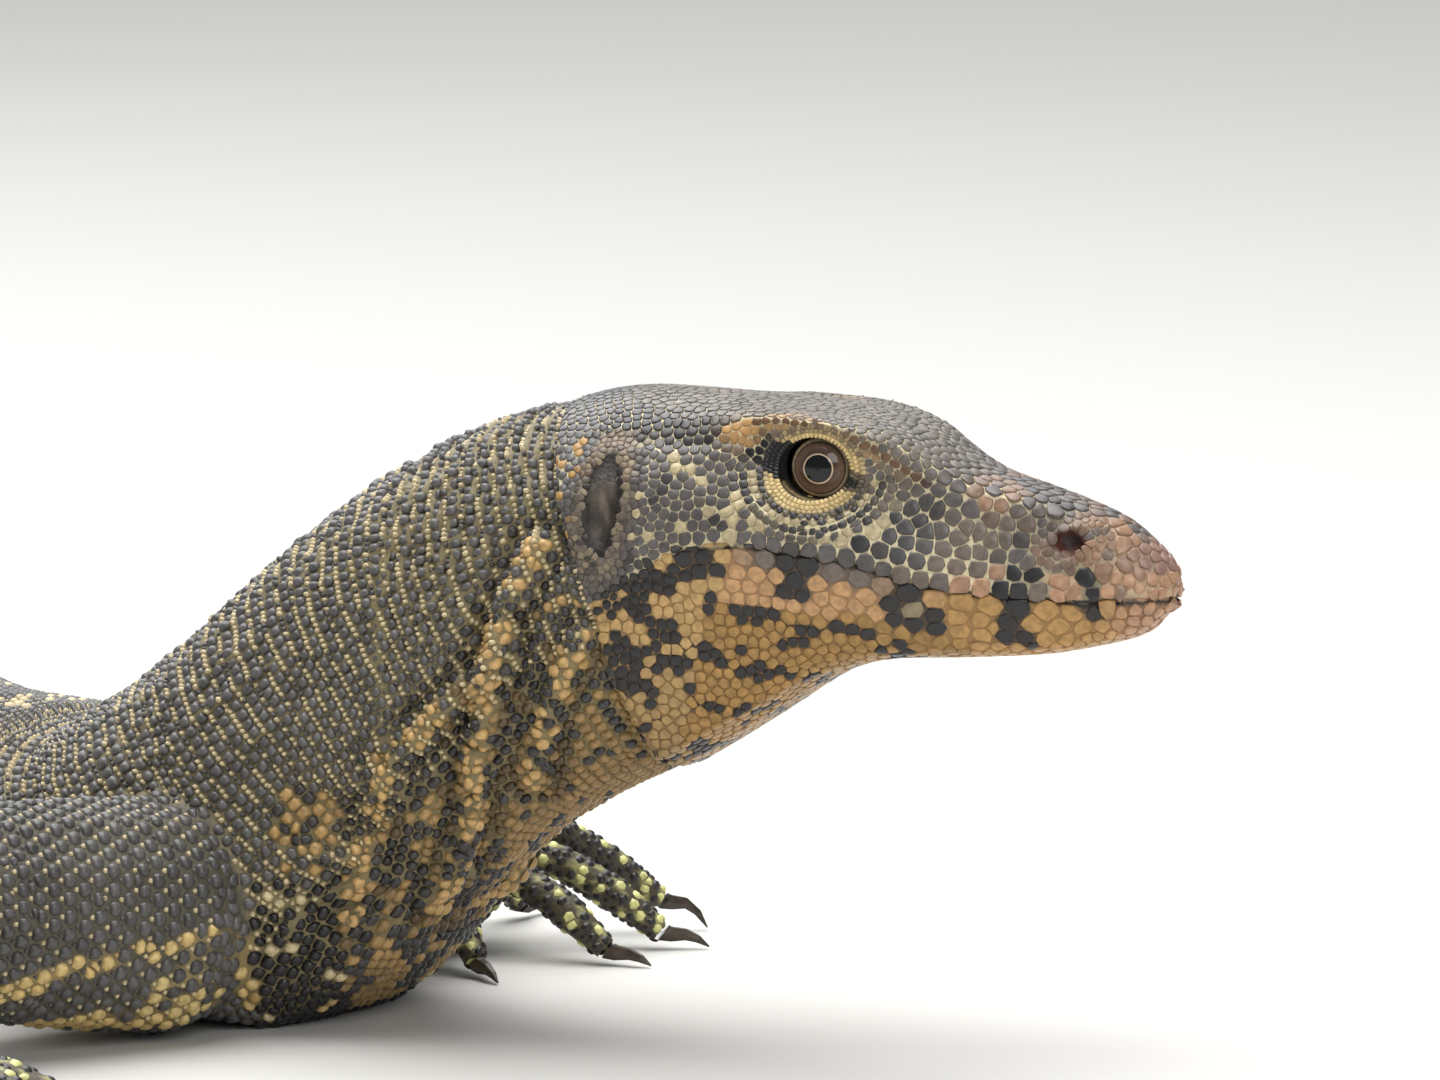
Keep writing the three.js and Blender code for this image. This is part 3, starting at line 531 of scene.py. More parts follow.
# rows of scales across the neck, trunk and tail: their distance apart, and the ridges that carry them
row_pitch = through(
    (-119, 2.5), (-80, 2.7), (-10, 3.0), (60, 3.3), (200, 3.6), (400, 3.7), (700, 3.9), (1000, 3.6),
    (1300, 2.6),
)
FIRST_ROW = -108.0
row_places = [FIRST_ROW]
while row_places[-1] < TAIL_END - 6:
    row_places.append(row_places[-1] + float(row_pitch(row_places[-1])))


def wobble(s, angle):
    """How far a row of scales strays along the neck, in mm."""
    places = np.stack([np.asarray(s) * 0.06, np.asarray(angle) * 0.02, np.zeros(len(s))], 1)
    stray = np.array([noise.noise(Vector(p)) for p in places])
    return 2.6 * stray * np.interp(s, (-110, -90, 60, 110), (0, 1, 1, 0))


def row_ridges(s, angle):
    phase = np.interp(s - wobble(s, angle), row_places, np.arange(len(row_places)))
    on_neck = np.interp(s, (-104, -92, -10, 50), (0, 0.62, 0.5, 0))
    over_back = np.interp(np.abs(angle), (60, 110), (1, 0.35))
    return on_neck * over_back * np.cos(2 * math.pi * phase) * MM


LOWEST_SKIN = 0.15 * MM


def settle(points, triangles, on_head):
    """Lays the skin at its depth, with its folds raised and nothing under the floor."""
    owner = owners(points)
    s, angle = to_spine(points)
    depth = coat_depth(owner, s) * MM + SWELL
    rise = sculpted(points) * within(owner, HEAD_SET) if on_head else np.zeros(len(points))
    rise = rise + (neck_folds(points, s, angle) + row_ridges(s, angle)) * within(owner, TRUNK_SET)
    points = points + normals_of(points, triangles) * (rise - depth)[:, None]
    points[:, 2] = np.maximum(points[:, 2], LOWEST_SKIN)
    return points


head_points = settle(head_points, head_triangles, True)
body_points = settle(body_points, body_triangles, False)
skin_points = np.vstack([head_points, body_points])
skin_triangles = np.vstack([head_triangles, body_triangles + len(head_points)])
skin_normals = normals_of(skin_points, skin_triangles)
skin_surface = BVHTree.FromPolygons(skin_points.tolist(), skin_triangles.tolist())
skin_mesh = build_mesh("skin", skin_points, skin_triangles)
skin = link(bpy.data.objects.new("skin", skin_mesh))
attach(skin, "root")
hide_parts(*flesh)

# Markings: one colour for a place on the animal, used for the skin and for each scale that grows there.
# Each scale has a chance of its own from 0 to 1, which makes neighbours differ as they do in life.
SLATE = np.array(srgb(89, 87, 85))
BLACK = np.array(srgb(36, 34, 34))
GREY = np.array(srgb(87, 82, 79))
BROWN_GREY = np.array(srgb(104, 92, 80))
DARK_BROWN = np.array(srgb(62, 42, 32))
CREAM = np.array(srgb(208, 190, 148))
OCHRE = np.array(srgb(192, 148, 80))
ORANGE = np.array(srgb(186, 144, 98))
PINK = np.array(srgb(158, 122, 108))
SEAM_OLIVE = np.array(srgb(122, 110, 76))
LID_YELLOW = CREAM * np.array([0.94, 0.86, 0.67])
NOSTRIL_RED = np.array(srgb(84, 40, 28))
YELLOW_GREEN = np.array(srgb(214, 212, 140))
BEAD_YELLOW = CREAM * np.array([1.0, 0.88, 0.6])
BAR_YELLOW = CREAM * np.array([1.0, 0.92, 0.66])


def noise_at(points, size, seed=0.0):
    """Smooth noise from -1 to 1, with features of the given size in mm."""
    scaled = points / (size * MM) + seed
    return np.array([noise.noise(Vector(p)) for p in scaled]) * 1.6


def step(low, high, x):
    t = np.clip((x - low) / (high - low), 0, 1)
    return t * t * (3 - 2 * t)


def blend(base, colour, amount):
    return base + (np.asarray(colour) - base) * np.clip(amount, 0, 1)[:, None]


def paint_snout(colour, u, v, chance, patch, speck):
    """Crown, dark plates on the side of the snout, and an orange flush about the nostril."""
    # the crown's scales are painted lighter than the rest of the head: a painted sheen of the light from
    # above, with their own tone that differs from scale to scale
    crown = step(15, 19, v + 0.12 * (u + 40))
    colour = blend(colour, (GREY + SEAM_OLIVE * 0.2) * (0.8 + 0.9 * chance[:, None]), crown * 0.75)
    snout = step(-58, -50, u) * step(15, 11.5, v + 0.1 * (u + 35))
    colour = blend(colour, BLACK * 2.9, snout * step(-0.3, 0.3, speck + 0.3 * patch) * 0.8)
    colour = blend(colour, BROWN_GREY * 1.2, snout * step(0.1, 0.5, -patch) * 0.8)
    flush = 0
    for place_u, place_v, size, strength in ((-11, 6.5, 7, 1), (-31, 12, 5, 0.8), (-24, 3, 4, 0.5)):
        flush = flush + strength * bump_at(np.hypot(u - place_u, v - place_v), size)
    colour = blend(colour, (ORANGE + PINK) * 0.42, flush * step(-0.25, 0.35, patch + speck * 0.7))
    return blend(colour, PINK * 0.85, step(-9, -4, u) * step(9, 5, v) * 0.85)


TEMPLE_STREAKS = (
    ((-96, 17), (-84, 15.4), (-76, 12), (-71, 8.6)),
    ((-92, 9), (-89, 4)),
    ((-80, 4.6), (-74, 5)),
)


def paint_temple(colour, u, v, side, chance):
    """Streaks of pale scales on the temple, a dark band over it, and the grey folds under the eye."""
    for line in TEMPLE_STREAKS:
        streak = (polyline_distance(u, v, line) < 2.1) & (chance < 0.34) & (side > 10)
        colour[streak] = CREAM * 0.72
    band = bump_at(v - (20.6 + 0.05 * (u + 80)), 2.4) * step(-64, -72, u) * (side > 10)
    colour = blend(colour, BLACK * 1.2, band * (0.9 + 0.5 * (chance < 0.6)))
    lid = lid_oval(u, v)
    under = step(-80, -76, u) * step(-44, -50, u) * step(2.5, 4, over_mouth(u, v)) * step(13, 10, v)
    under = under * (lid > 1.2)
    colour = blend(colour, CREAM * 0.75, under * (chance < 0.34) * 0.9)
    colour = blend(colour, BLACK * 1.4, under * (chance > 0.72) * 0.8)
    fold = np.cos((lid - 1.26) / 0.19 * math.pi)
    rings = (lid > 1.14) & (lid < 1.75) & (v < EYE_V - 1) & (side > EYE_SIDE)
    colour = blend(colour, BLACK * 1.9, rings * (fold > 0.2) * 0.8)
    return blend(colour, CREAM * 0.72, rings * (fold < -0.2) * (chance < 0.7) * 0.85)


# dark bars over the lips: the middle (u), half the width, and how far each runs from the line of the mouth
UPPER_BARS = ((-12.7, 1.6, 4.6), (-26.4, 4.0, 5.6))
LOWER_BARS = ((-12, 1.3, -3.4), (-25.5, 3.4, -8.5), (-42.4, 4.0, -9.5), (-63, 3.0, -8), (-79, 3.6, -6))
PALE_CENTRED_BARS = (-42.4, -63)


def paint_lips(colour, points, u, v, chance, patch):
    """Upper lip ochre in front, lower jaw orange with blue-grey along the lip, and dark bars on both."""
    mouth = over_mouth(u, v)
    upper = step(0, 0.3, mouth) * step(5.2, 4.4, mouth) * step(-38, -33, u)
    colour = blend(colour, (ORANGE + PINK) * 0.5, upper * step(-0.4, 0.2, patch + 0.5 * (chance - 0.3)))
    lower = step(0.2, -0.2, mouth)
    colour = blend(colour, ORANGE * (0.92 + 0.16 * chance[:, None]), lower)
    # the front and underside of the lower jaw are ochre of their own, painted darker as painted shade where
    # they face down
    ochre_place = np.maximum(step(-10, -13, v), step(-42, -34, u) * step(-6, -14, u))
    colour = blend(colour, OCHRE * 0.78, lower * ochre_place * 0.75)
    colour = blend(colour, PINK, lower * step(-12, -6, u) * 0.5)
    grey_lip = lower * step(-4.4, -3.6, mouth) * step(-45, -49, u) * step(-74, -68, u)
    colour = blend(colour, GREY * 1.35, grey_lip * 0.9)
    edge = 0.9 * noise_at(points, 4, 3)
    for middle, half, high in UPPER_BARS:
        bar = (np.abs(u - middle + edge * 0.6) < half) & (mouth < high) & (mouth > -0.2) & (chance < 0.9)
        colour[bar] = BLACK * 1.15
    for middle, half, low in LOWER_BARS:
        lean = 0.25 * (mouth + 4)
        bar = (np.abs(u - middle + lean + edge) < half) & (mouth > low) & (mouth < 0.2) & (chance < 0.84)
        colour[bar] = BLACK
        if middle in PALE_CENTRED_BARS:
            colour[bar & (mouth > -5) & (chance < 0.3)] = CREAM * 0.4
    return colour


def paint_throat(colour, points, u, v, chance, speck):
    """Throat and angle of the jaw: ochre, with black scales in clusters and wavy bars."""
    mouth = over_mouth(u, v)
    throat = (mouth < -7 - 0.04 * (-u)) & (u < -34)
    stripe = np.sin((0.16 * u + 0.62 * v + 1.3 * noise_at(points, 13, 7)) * 1.05)
    dark = np.interp(stripe + 0.35 * speck, (0.1, 0.75, 1.2), (0.07, 0.55, 0.9)) * step(-34, -50, u)
    # the ochre of the throat is painted dark, as painted shade on the underside
    colour[throat] = (OCHRE * (0.58 + 0.12 * chance[:, None]))[throat]
    colour[throat & (chance < dark)] = BLACK
    angle = (u < -74 + 0.25 * v) & (mouth < 0.8)
    mosaic = noise_at(points, 4.6, 2) * 0.6 + (chance - 0.5) * 0.7
    # the angle of the jaw is painted darker towards the bottom, as painted shade under the jaw
    colour[angle] = ((CREAM * 0.2 + OCHRE * 0.65) * np.interp(v, (-40, -12), (0.6, 1))[:, None])[angle]
    black_above = np.interp(v, (-45, -30, -12, 0), (0.34, 0.14, -0.06, -0.18))
    colour[angle & (mosaic > black_above)] = BLACK * 1.05
    return colour


brow_row = through(
    (-78, 20.6), (-73, 22.8), (-66, 23.7), (-60, 23.2), (-55, 21.8), (-50, 19.4), (-46, 17.2), (-41, 14.4),
)


def paint_brow(colour, u, v, side, chance):
    """Orange skin round a row of dark brown scales, with an orange patch at its hind end."""
    over_row = v - brow_row(u)
    along_row = step(-79, -76, u) * step(-41, -46, u) * (side > 11)
    brow = bump_at(over_row, 1.3) * step(1.0, 0.4, over_row) * along_row
    hind_patch = bump_at(np.hypot((u + 73.5) / 1.6, v - 20.6), 2.0) * (side > 9)
    colour = blend(colour, (ORANGE + OCHRE) * 0.42, (brow + hind_patch) * 1.1 * step(10, 13, v))
    beads = (np.abs(over_row) < 0.5) & (u > -72) & (u < -41) & (side > 9)
    colour = blend(colour, DARK_BROWN * (1.1 + 0.8 * chance[:, None]), beads * 0.85)
    groove = bump_at(over_row + 2.4, 0.7) * step(-76, -70, u) * step(-50, -54, u) * (side > 9)
    return blend(colour, BLACK * 1.6, groove * (chance < 0.8))


def paint_lids(colour, u, v, side, chance):
    """A yellow band round the eye, with black painted in both corners and along the inner rim as painted
    shade where the lid meets the ball.
    """
    lid = lid_oval(u, v)
    facing = side > EYE_SIDE
    colour = blend(colour, LID_YELLOW, step(1.2, 1.12, lid) * facing)
    outer_row = (lid > 1.0) & (lid < 1.2) & (v > EYE_V + 2.5) & facing
    colour = blend(colour, BROWN_GREY * 0.9, outer_row * (0.45 + 0.4 * (chance < 0.5)))
    # painted shade: a black wedge behind the eye, where the ball does not fill the opening
    behind = np.clip((EYE_U - 4 - u) / 9, 0, 1)
    near_middle = np.abs(v - EYE_V - 0.3 - 2.2 * behind) < 3.9 * (1 - behind)**0.8
    hind_corner = (behind > 0) & (behind < 1) & near_middle & facing
    colour = blend(colour, BLACK * 0.5, hind_corner * 1.0)
    before = u - EYE_U
    beneath = np.abs(v - EYE_V + 0.25 * before)
    front_skin = (before > 4.6) & (before < 9.5) & (beneath < 2.5 - 0.1 * before) & facing
    colour = blend(colour, BROWN_GREY * (0.45 + 0.6 * chance[:, None]), front_skin * 0.9)
    # painted shade: a black notch in the front corner of the eye
    front_corner = (before > 4.6) & (before < 8.4) & (beneath < 1.9 * (1 - (before - 4.6) / 3.8)) & facing
    colour = blend(colour, BLACK * 0.6, front_corner * 1.0)
    # painted shade along the inner rim of the lids, against the ball
    return blend(colour, BLACK * 0.4, step(0.88, 0.84, lid) * facing)


def paint_openings(colour, points, u, v, side, chance, speck):
    """Red in the nostrils with painted shade in their middle, wrinkled skin round the ears, and the grey
    streaked membrane in them, darker at its top and rim as painted shade.
    """
    nostril = nostril_oval(u, v)
    colour = blend(colour, NOSTRIL_RED, step(1.05, 0.8, nostril) * (side > NOSTRIL_SIDE))
    # painted shade: the middle of the nostril is painted nearly black, for the dark inside of the opening
    colour = blend(colour, BLACK * 0.3, step(0.8, 0.35, nostril) * (side > NOSTRIL_SIDE) * 0.8)
    ear = ear_oval(u, v)
    at_ear = side > EAR_SIDE
    around_ear = step(2.0, 1.3, ear) * at_ear
    colour = blend(colour, BROWN_GREY * 1.1, around_ear * 0.8)
    colour = blend(colour, CREAM * 0.5, around_ear * step(0.0, 0.6, np.sin(ear * 24 + 2 * speck)) * 0.5)
    colour = blend(colour, BLACK * 1.2, around_ear * (chance > 0.72) * 0.7)
    nape = step(-98, -101.5, u) * step(-8, 2, v) * step(1.5, 2.0, ear)
    colour = blend(colour, SLATE * (0.7 + 0.5 * chance[:, None]), nape)
    colour = blend(colour, OCHRE * 0.7, nape * (chance < 0.24) * at_ear)
    # the membrane is painted darker at its top and rim, as painted shade in the hollow of the ear, with
    # fine streaks
    streaks = np.clip(0.5 + 0.5 * noise_at(points * np.array([3.2, 3.2, 0.7]), 3, 21), 0, 1)
    lit = streaks**1.6 * step(0.95, 0.35, ear) * step(15.5, 8, v)
    membrane = BROWN_GREY * (0.12 + 1.3 * lit)[:, None]
    colour = np.where(((ear < 1.06) & at_ear)[:, None], membrane, colour)
    return blend(colour, ORANGE * 0.45, bump_at(ear - 1.35, 0.16) * step(9, 13, v) * at_ear * 0.45)


def head_marks(points, chance):
    u, w, v = to_head(points)
    side = np.abs(w)
    patch = noise_at(points, 9)
    speck = noise_at(points, 3.4, 5)
    colour = np.tile(GREY, (len(points), 1)) * (1 + 0.22 * patch + 0.25 * (chance - 0.5))[:, None]
    colour = blend(colour, BLACK * 1.3, (chance < 0.12) * 0.6)
    colour = paint_snout(colour, u, v, chance, patch, speck)
    colour = paint_temple(colour, u, v, side, chance)
    colour = paint_lips(colour, points, u, v, chance, patch)
    colour = paint_throat(colour, points, u, v, chance, speck)
    colour = paint_brow(colour, u, v, side, chance)
    colour = paint_lids(colour, u, v, side, chance)
    return paint_openings(colour, points, u, v, side, chance, speck)


# front edge of the yellow on the neck and chest, and round patches of it: middle, half sizes, share
YELLOW_EDGE = ((600, 66), (577, 59), (560, 50), (552, 40), (545, 33), (538, 26), (530, 16), (526, 2))
YELLOW_PATCHES = ((517, 5, 8, 7, 0.8), (487, 8.5, 8, 5, 0.62), (508, 40, 6, 6, 0.4))


def yellow_share(x, z, s):
    """How much of the neck and chest is yellow, most along the throat's edge and least on the back."""
    from_edge = polyline_distance(x, z, YELLOW_EDGE)
    share = np.interp(from_edge, (0, 7, 15, 24, 33), (0.95, 0.86, 0.5, 0.24, 0.02))
    share = share * np.interp(z, (8, 30, 46), (0.5, 0.62, 1))
    for middle_x, middle_z, half_x, half_z, amount in YELLOW_PATCHES:
        inside = np.hypot((x - middle_x) / half_x, (z - middle_z) / half_z) < 1
        share = np.maximum(share, amount * inside)
    return share


def neck_marks(points, s, angle, chance):
    """Slate rows, with yellow scales in clusters toward the throat and along the folds."""
    x, z = side_view(points, s, angle)
    flank = np.abs(angle)
    cluster = noise_at(points, 4.6, 2)
    broad = noise_at(points, 22, 4)
    colour = np.tile(SLATE, (len(points), 1)) * (1 + 0.16 * broad + 0.3 * (chance - 0.5))[:, None]
    colour = blend(colour, BROWN_GREY * 0.7, step(0.2, 0.7, noise_at(points, 30, 8)) * 0.35)
    share = yellow_share(x, z, s) * step(34, 56, flank)
    colour = colour * (1 - 0.55 * np.clip(share * 2.5, 0, 1))[:, None]
    threshold = np.interp(share, (0, 0.05, 0.25, 0.5, 0.75, 0.95, 1), (-2, -0.5, -0.2, 0, 0.2, 0.45, 0.8))
    yellow = (0.6 * cluster + 0.7 * (chance - 0.5) < threshold) & (share > 0.01)
    # the yellow scales are painted darker toward the throat, as painted shade on the underside
    throat_shade = np.interp(share, (0.2, 0.8), (1, 0.6))[:, None]
    colour[yellow] = ((OCHRE * 0.75 + CREAM * 0.2) * (0.95 + 0.12 * cluster[:, None]) * throat_shade)[yellow]
    at_folds = (flank > 45) & (s < 5)
    for _, line in SIDE_FOLDS[:3]:
        ridge = (polyline_distance(x, z, line) < 1.7) & at_folds & (cluster < 0.35)
        colour[ridge] = OCHRE * 0.75 + CREAM * 0.25
        # painted shadow: black in the crease behind each fold
        crease = bump_at(polyline_distance(x, z, line) - 4.2, 1.7) * at_folds
        colour = blend(colour, BLACK * 0.8, crease * 0.8 * (chance < 0.75))
    dark_patch = (s < 70) & (flank > 50) & (x > 499) & (x < 514.5) & (z < 28.5)
    colour[dark_patch] = BLACK * 0.9
    colour[dark_patch & (cluster > 0.62)] = CREAM
    return colour


def trunk_marks(points, s, angle, chance):
    """Rows of pale rings across the back, fading bands on the tail, pale belly with dark bars."""
    ring_size = 4.6
    flank = np.abs(angle)
    grain = 1 + 0.2 * noise_at(points, 14, 6) + 0.2 * (chance - 0.5)
    colour = np.tile(SLATE, (len(points), 1)) * grain[:, None]
    pitch = np.where(s < VENT, 27.0, 30.0)
    row = np.round(s / pitch)
    along = (s - row * pitch) / ring_size
    width = np.maximum(half_wide(s), 6)
    lateral = np.radians(angle) * width
    gap = np.clip(width * 0.33, 9, 17)
    column = np.round(lateral / gap + 0.5 * (row % 2)) - 0.5 * (row % 2)
    ring = np.hypot(along, (lateral - column * gap) / ring_size)
    pale_ring = (ring > 0.35) & (ring < 1.12) & (s > 40) & (s < VENT + 40) & (flank < 105)
    colour[pale_ring & (chance < 0.86)] = CREAM * 0.95
    colour[(chance < 0.05) & (s < VENT)] = CREAM * 0.8
    belly = (flank > 118) & (s < VENT + 30)
    bars = np.sin(s / 17 * math.pi + 0.8 * noise_at(points, 12, 1)) > 0.55
    colour[belly & ~bars] = OCHRE * 0.95
    colour[belly & bars] = BLACK * 1.4
    tail = s > VENT + 25
    band = np.sin((s - VENT) / 42 * 2 * math.pi + 0.7 * noise_at(points, 10, 12))
    colour[tail & (band > 0.74)] = CREAM * 0.8
    colour[tail & (band > 0.45) & (band < 0.74) & (chance < 0.4)] = CREAM * 0.7
    return colour


DIGITS = ("i", "ii", "iii", "iv", "v")
LIMB_OF = {
    "hand_right": "fore_right",
    "hand_left": "fore_left",
    "foot_right": "hind_right",
    "foot_left": "hind_left",
}
hand_centres = {}
claw_roots = {}
for node, limb in LIMB_OF.items():
    low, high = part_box(node)
    hand_centres[node] = (np.array(low) + np.array(high)) / 2
    claws = [mesh_arrays(bpy.data.objects[f"{limb}_claw_{digit}"].data)[0] for digit in DIGITS]
    claw_roots[node] = np.array([claw[np.argmax(claw[:, 2])] for claw in claws])


def hand_marks(points, node):
    """Black, with rows of yellow-green spots across each digit."""
    spot_pitch = 3.6
    away = points[:, None, :2] - claw_roots[node][None, :, :2]
    root = claw_roots[node][(away**2).sum(2).argmin(1)]
    ahead = root[:, :2] - hand_centres[node][None, :2]
    ahead /= np.linalg.norm(ahead, axis=1, keepdims=True)
    offset = points[:, :2] - root[:, :2]
    back = -(offset * ahead).sum(1) / MM
    lateral = (offset[:, 0] * ahead[:, 1] - offset[:, 1] * ahead[:, 0]) / MM
    cell = np.floor(back / spot_pitch)
    spots = (np.abs(back - (cell + 0.5) * spot_pitch) < 0.9) & (np.sin(lateral * 2.2 + cell * 2.1) > -0.1)
    colour = np.tile(BLACK * 1.25, (len(points), 1))
    colour[spots & (points[:, 2] > 3 * MM)] = YELLOW_GREEN
    return colour


def limb_marks(points, owner, chance):
    grain = 1 + 0.2 * noise_at(points, 12, 14) + 0.3 * (chance - 0.5)
    colour = np.tile(SLATE * 0.82, (len(points), 1)) * grain[:, None]
    legs = within(owner, ARM_SET) & (points[:, 0] < 0.4)
    colour[(noise_at(points, 5.0, 15) > 0.62) & (chance < 0.5) & legs] = CREAM * 0.85
    for node in hand_nodes:
        mine = owner == flesh.index(node)
        if mine.any():
            colour[mine] = hand_marks(points[mine], node)
    return colour


# chains of yellow beads over the shoulder and arm: half the width, and the places (x, z) seen from the side
BEAD_CHAINS = (
    (1.5, ((452, 11), (457, 12.6), (468, 16), (479.4, 18.4), (489.6, 19.9), (497, 22.4))),
    (2.0, ((456, 2.5), (465.4, 5.3), (477, 4.9), (484, 4.6))),
    (1.6, ((497.5, 6), (497.5, 16), (498.5, 25), (505, 29.5), (512, 31))),
    (1.3, ((515, 30), (517, 20), (516, 12), (510, 4))),
    (1.0, ((524, 46), (521, 36), (520, 26))),
)
TRUNK_FROM = 40


def marks(points, owner, s, angle, chance):
    colour = np.zeros((len(points), 3))
    trunk = within(owner, TRUNK_SET)
    for mask, paint in (
        (within(owner, HEAD_SET), lambda k: head_marks(points[k], chance[k])),
        (trunk & (s <= TRUNK_FROM), lambda k: neck_marks(points[k], s[k], angle[k], chance[k])),
        (trunk & (s > TRUNK_FROM), lambda k: trunk_marks(points[k], s[k], angle[k], chance[k])),
        (within(owner, ARM_SET | HAND_SET), lambda k: limb_marks(points[k], owner[k], chance[k])),
    ):
        where = np.flatnonzero(mask)
        if len(where):
            colour[where] = paint(where)
    x, z = side_view(points, s, angle)
    shoulder = (s > -30) & (s < 95) & (np.abs(angle) > 35) & ~within(owner, HAND_SET)
    for half, line in BEAD_CHAINS:
        colour[shoulder & (polyline_distance(x, z, line) < half) & (chance < 0.85)] = BEAD_YELLOW
    barred = np.hypot((x - 487) / 8, (z - 8.5) / 4.5) < 1
    colour[shoulder & barred & (np.sin(z * 2.2) > -0.2) & (chance < 0.8)] = BAR_YELLOW
    return np.clip(colour, 0, 1)


# Bare skin: what shows between the scales, pale and olive seams that take some of the colour beside them.
# It is dull and finely pebbled.
SEAM_PALE = np.array(srgb(210, 196, 158))
skin_owner = owners(skin_points)
skin_s, skin_angle = to_spine(skin_points)


def seam_colour(points, owner, s, angle):
    middling = np.full(len(points), 0.5)
    painted = marks(points, owner, s, angle, middling)
    colour = np.tile(SEAM_OLIVE * 0.6, (len(points), 1))
    u, w, v = to_head(points)
    side = np.abs(w)
    mouth = over_mouth(u, v)
    on_head = within(owner, HEAD_SET)
    paleness = np.interp(u, (-34, -20), (0.95, 0.35))[:, None]
    colour = np.where(on_head[:, None], paleness * SEAM_PALE + (1.0 - 0.9 * paleness) * painted, colour)
    crown = on_head & (v > 14 - 0.12 * (u + 20))
    colour[crown] = 0.75 * SEAM_PALE + 0.2 * painted[crown]
    lower_jaw = on_head & (mouth < 0)
    colour[lower_jaw] = 0.6 * painted[lower_jaw] + 0.12 * ORANGE
    # painted shade: the slit between the lips is painted dark
    colour[on_head & (np.abs(mouth) < 0.4) & (u > MOUTH_CORNER)] = BLACK * 0.7
    at_ear = (ear_oval(u, v) < 2.2) & (side > EAR_SIDE)
    at_nostril = (nostril_oval(u, v) < 1.2) & (side > NOSTRIL_SIDE)
    openings = on_head & (at_ear | at_nostril)
    colour[openings] = painted[openings]
    neck = within(owner, TRUNK_SET) & (s < 60)
    colour[neck] = SEAM_OLIVE * 0.95 + 0.1 * painted[neck]
    rear = within(owner, TRUNK_SET) & (s >= 60)
    colour[rear] = 0.4 * painted[rear] + 0.45 * SEAM_OLIVE
    limbs = within(owner, ARM_SET | HAND_SET)
    colour[limbs] = 0.35 * painted[limbs] + 0.3 * SEAM_OLIVE
    lids = on_head & (side > EYE_SIDE) & (lid_oval(u, v) < 1.25)
    colour[lids] = painted[lids]
    return np.clip(colour, 0, 1)


def add_colours(mesh, values):
    attribute = mesh.color_attributes.new("tint", "FLOAT_COLOR", "POINT")
    rgba = np.ones((len(values), 4))
    rgba[:, :3] = values
    attribute.data.foreach_set("color", rgba.ravel())


def attribute_output(tree, name, output):
    node = tree.nodes.new("ShaderNodeAttribute")
    node.attribute_name = name
    return node.outputs[output]


def pattern(tree, kind, scale):
    """A pattern of the material that is fixed to the piece."""
    node = tree.nodes.new(kind)
    node.inputs["Scale"].default_value = scale
    coordinate = tree.nodes.new("ShaderNodeTexCoord")
    tree.links.new(coordinate.outputs["Object"], node.inputs["Vector"])
    return node


def roughen(tree, shader, height, strength, distance, sunk=False):
    """Gives the surface the small relief of a pattern."""
    bump = tree.nodes.new("ShaderNodeBump")
    bump.inputs["Strength"].default_value = strength
    bump.inputs["Distance"].default_value = distance
    bump.invert = sunk
    tree.links.new(height, bump.inputs["Height"])
    tree.links.new(bump.outputs["Normal"], shader.inputs["Normal"])


add_colours(skin_mesh, seam_colour(skin_points, skin_owner, skin_s, skin_angle))
skin_material, skin_tree, skin_shader = new_material("bare_skin", 0.55)
skin_tree.links.new(attribute_output(skin_tree, "tint", "Color"), skin_shader.inputs["Base Color"])
pebbles = pattern(skin_tree, "ShaderNodeTexVoronoi", 1400)
roughen(skin_tree, skin_shader, pebbles.outputs["Distance"], 0.5, 0.0002, sunk=True)
skin_mesh.materials.append(skin_material)

# Rows of scales: beads of horn in rows across the neck, trunk and tail, each row half a bead on from the
# last. On the neck and shoulder small granules fill the spaces between the rows, but not on the throat.
GROUPS = ("head", "neck", "granules", "shoulder", "trunk", "tail", "limbs", "hands")
roots = []  # rows of place, normal, way forward, half length, half width, height, group, unwrap


def add_roots(group, places, normals, ahead, long, wide, high, unwrap):
    count = len(places)
    facts = (long, wide, high, GROUPS.index(group))
    shape = [np.broadcast_to(np.asarray(x, float), count)[:, None] for x in facts]
    roots.append(np.hstack([places, normals, ahead, *shape, unwrap]))


def face_normal(face):
    """The skin's smooth normal at one of its triangles."""
    a, b, c = skin_triangles[face]
    smooth = skin_normals[a] + skin_normals[b] + skin_normals[c]
    return smooth / np.linalg.norm(smooth)


def cast(origins, ways, reach):
    """Where rays meet the skin from inside: places, normals and a mask of those that meet it."""
    places = np.zeros((len(origins), 3))
    normals = np.zeros((len(origins), 3))
    found = np.zeros(len(origins), bool)
    for k in range(len(origins)):
        place, _, face, _ = skin_surface.ray_cast(Vector(origins[k]), Vector(ways[k]), reach)
        if place is not None:
            places[k] = place
            normals[k] = face_normal(face)
            found[k] = True
    return places, normals, found


def from_top(t):
    """Angle from the top of the body in degrees, from a turn in radians."""
    return np.degrees((t + math.pi) % (2 * math.pi) - math.pi)


bead_pitch = through(
    (-119, 1.9), (-80, 2.05), (-10, 2.4), (60, 2.7), (200, 3.1), (400, 3.0), (700, 2.7), (1000, 2.2),
    (1300, 1.2),
)
BODY_REACH, LIMB_REACH, HEAD_REACH = 0.12, 0.05, 0.042  # of the rays, in m
GRANULES_TO = 75
SHOULDER_FROM, TRUNK_SCALES_FROM = -8, 100


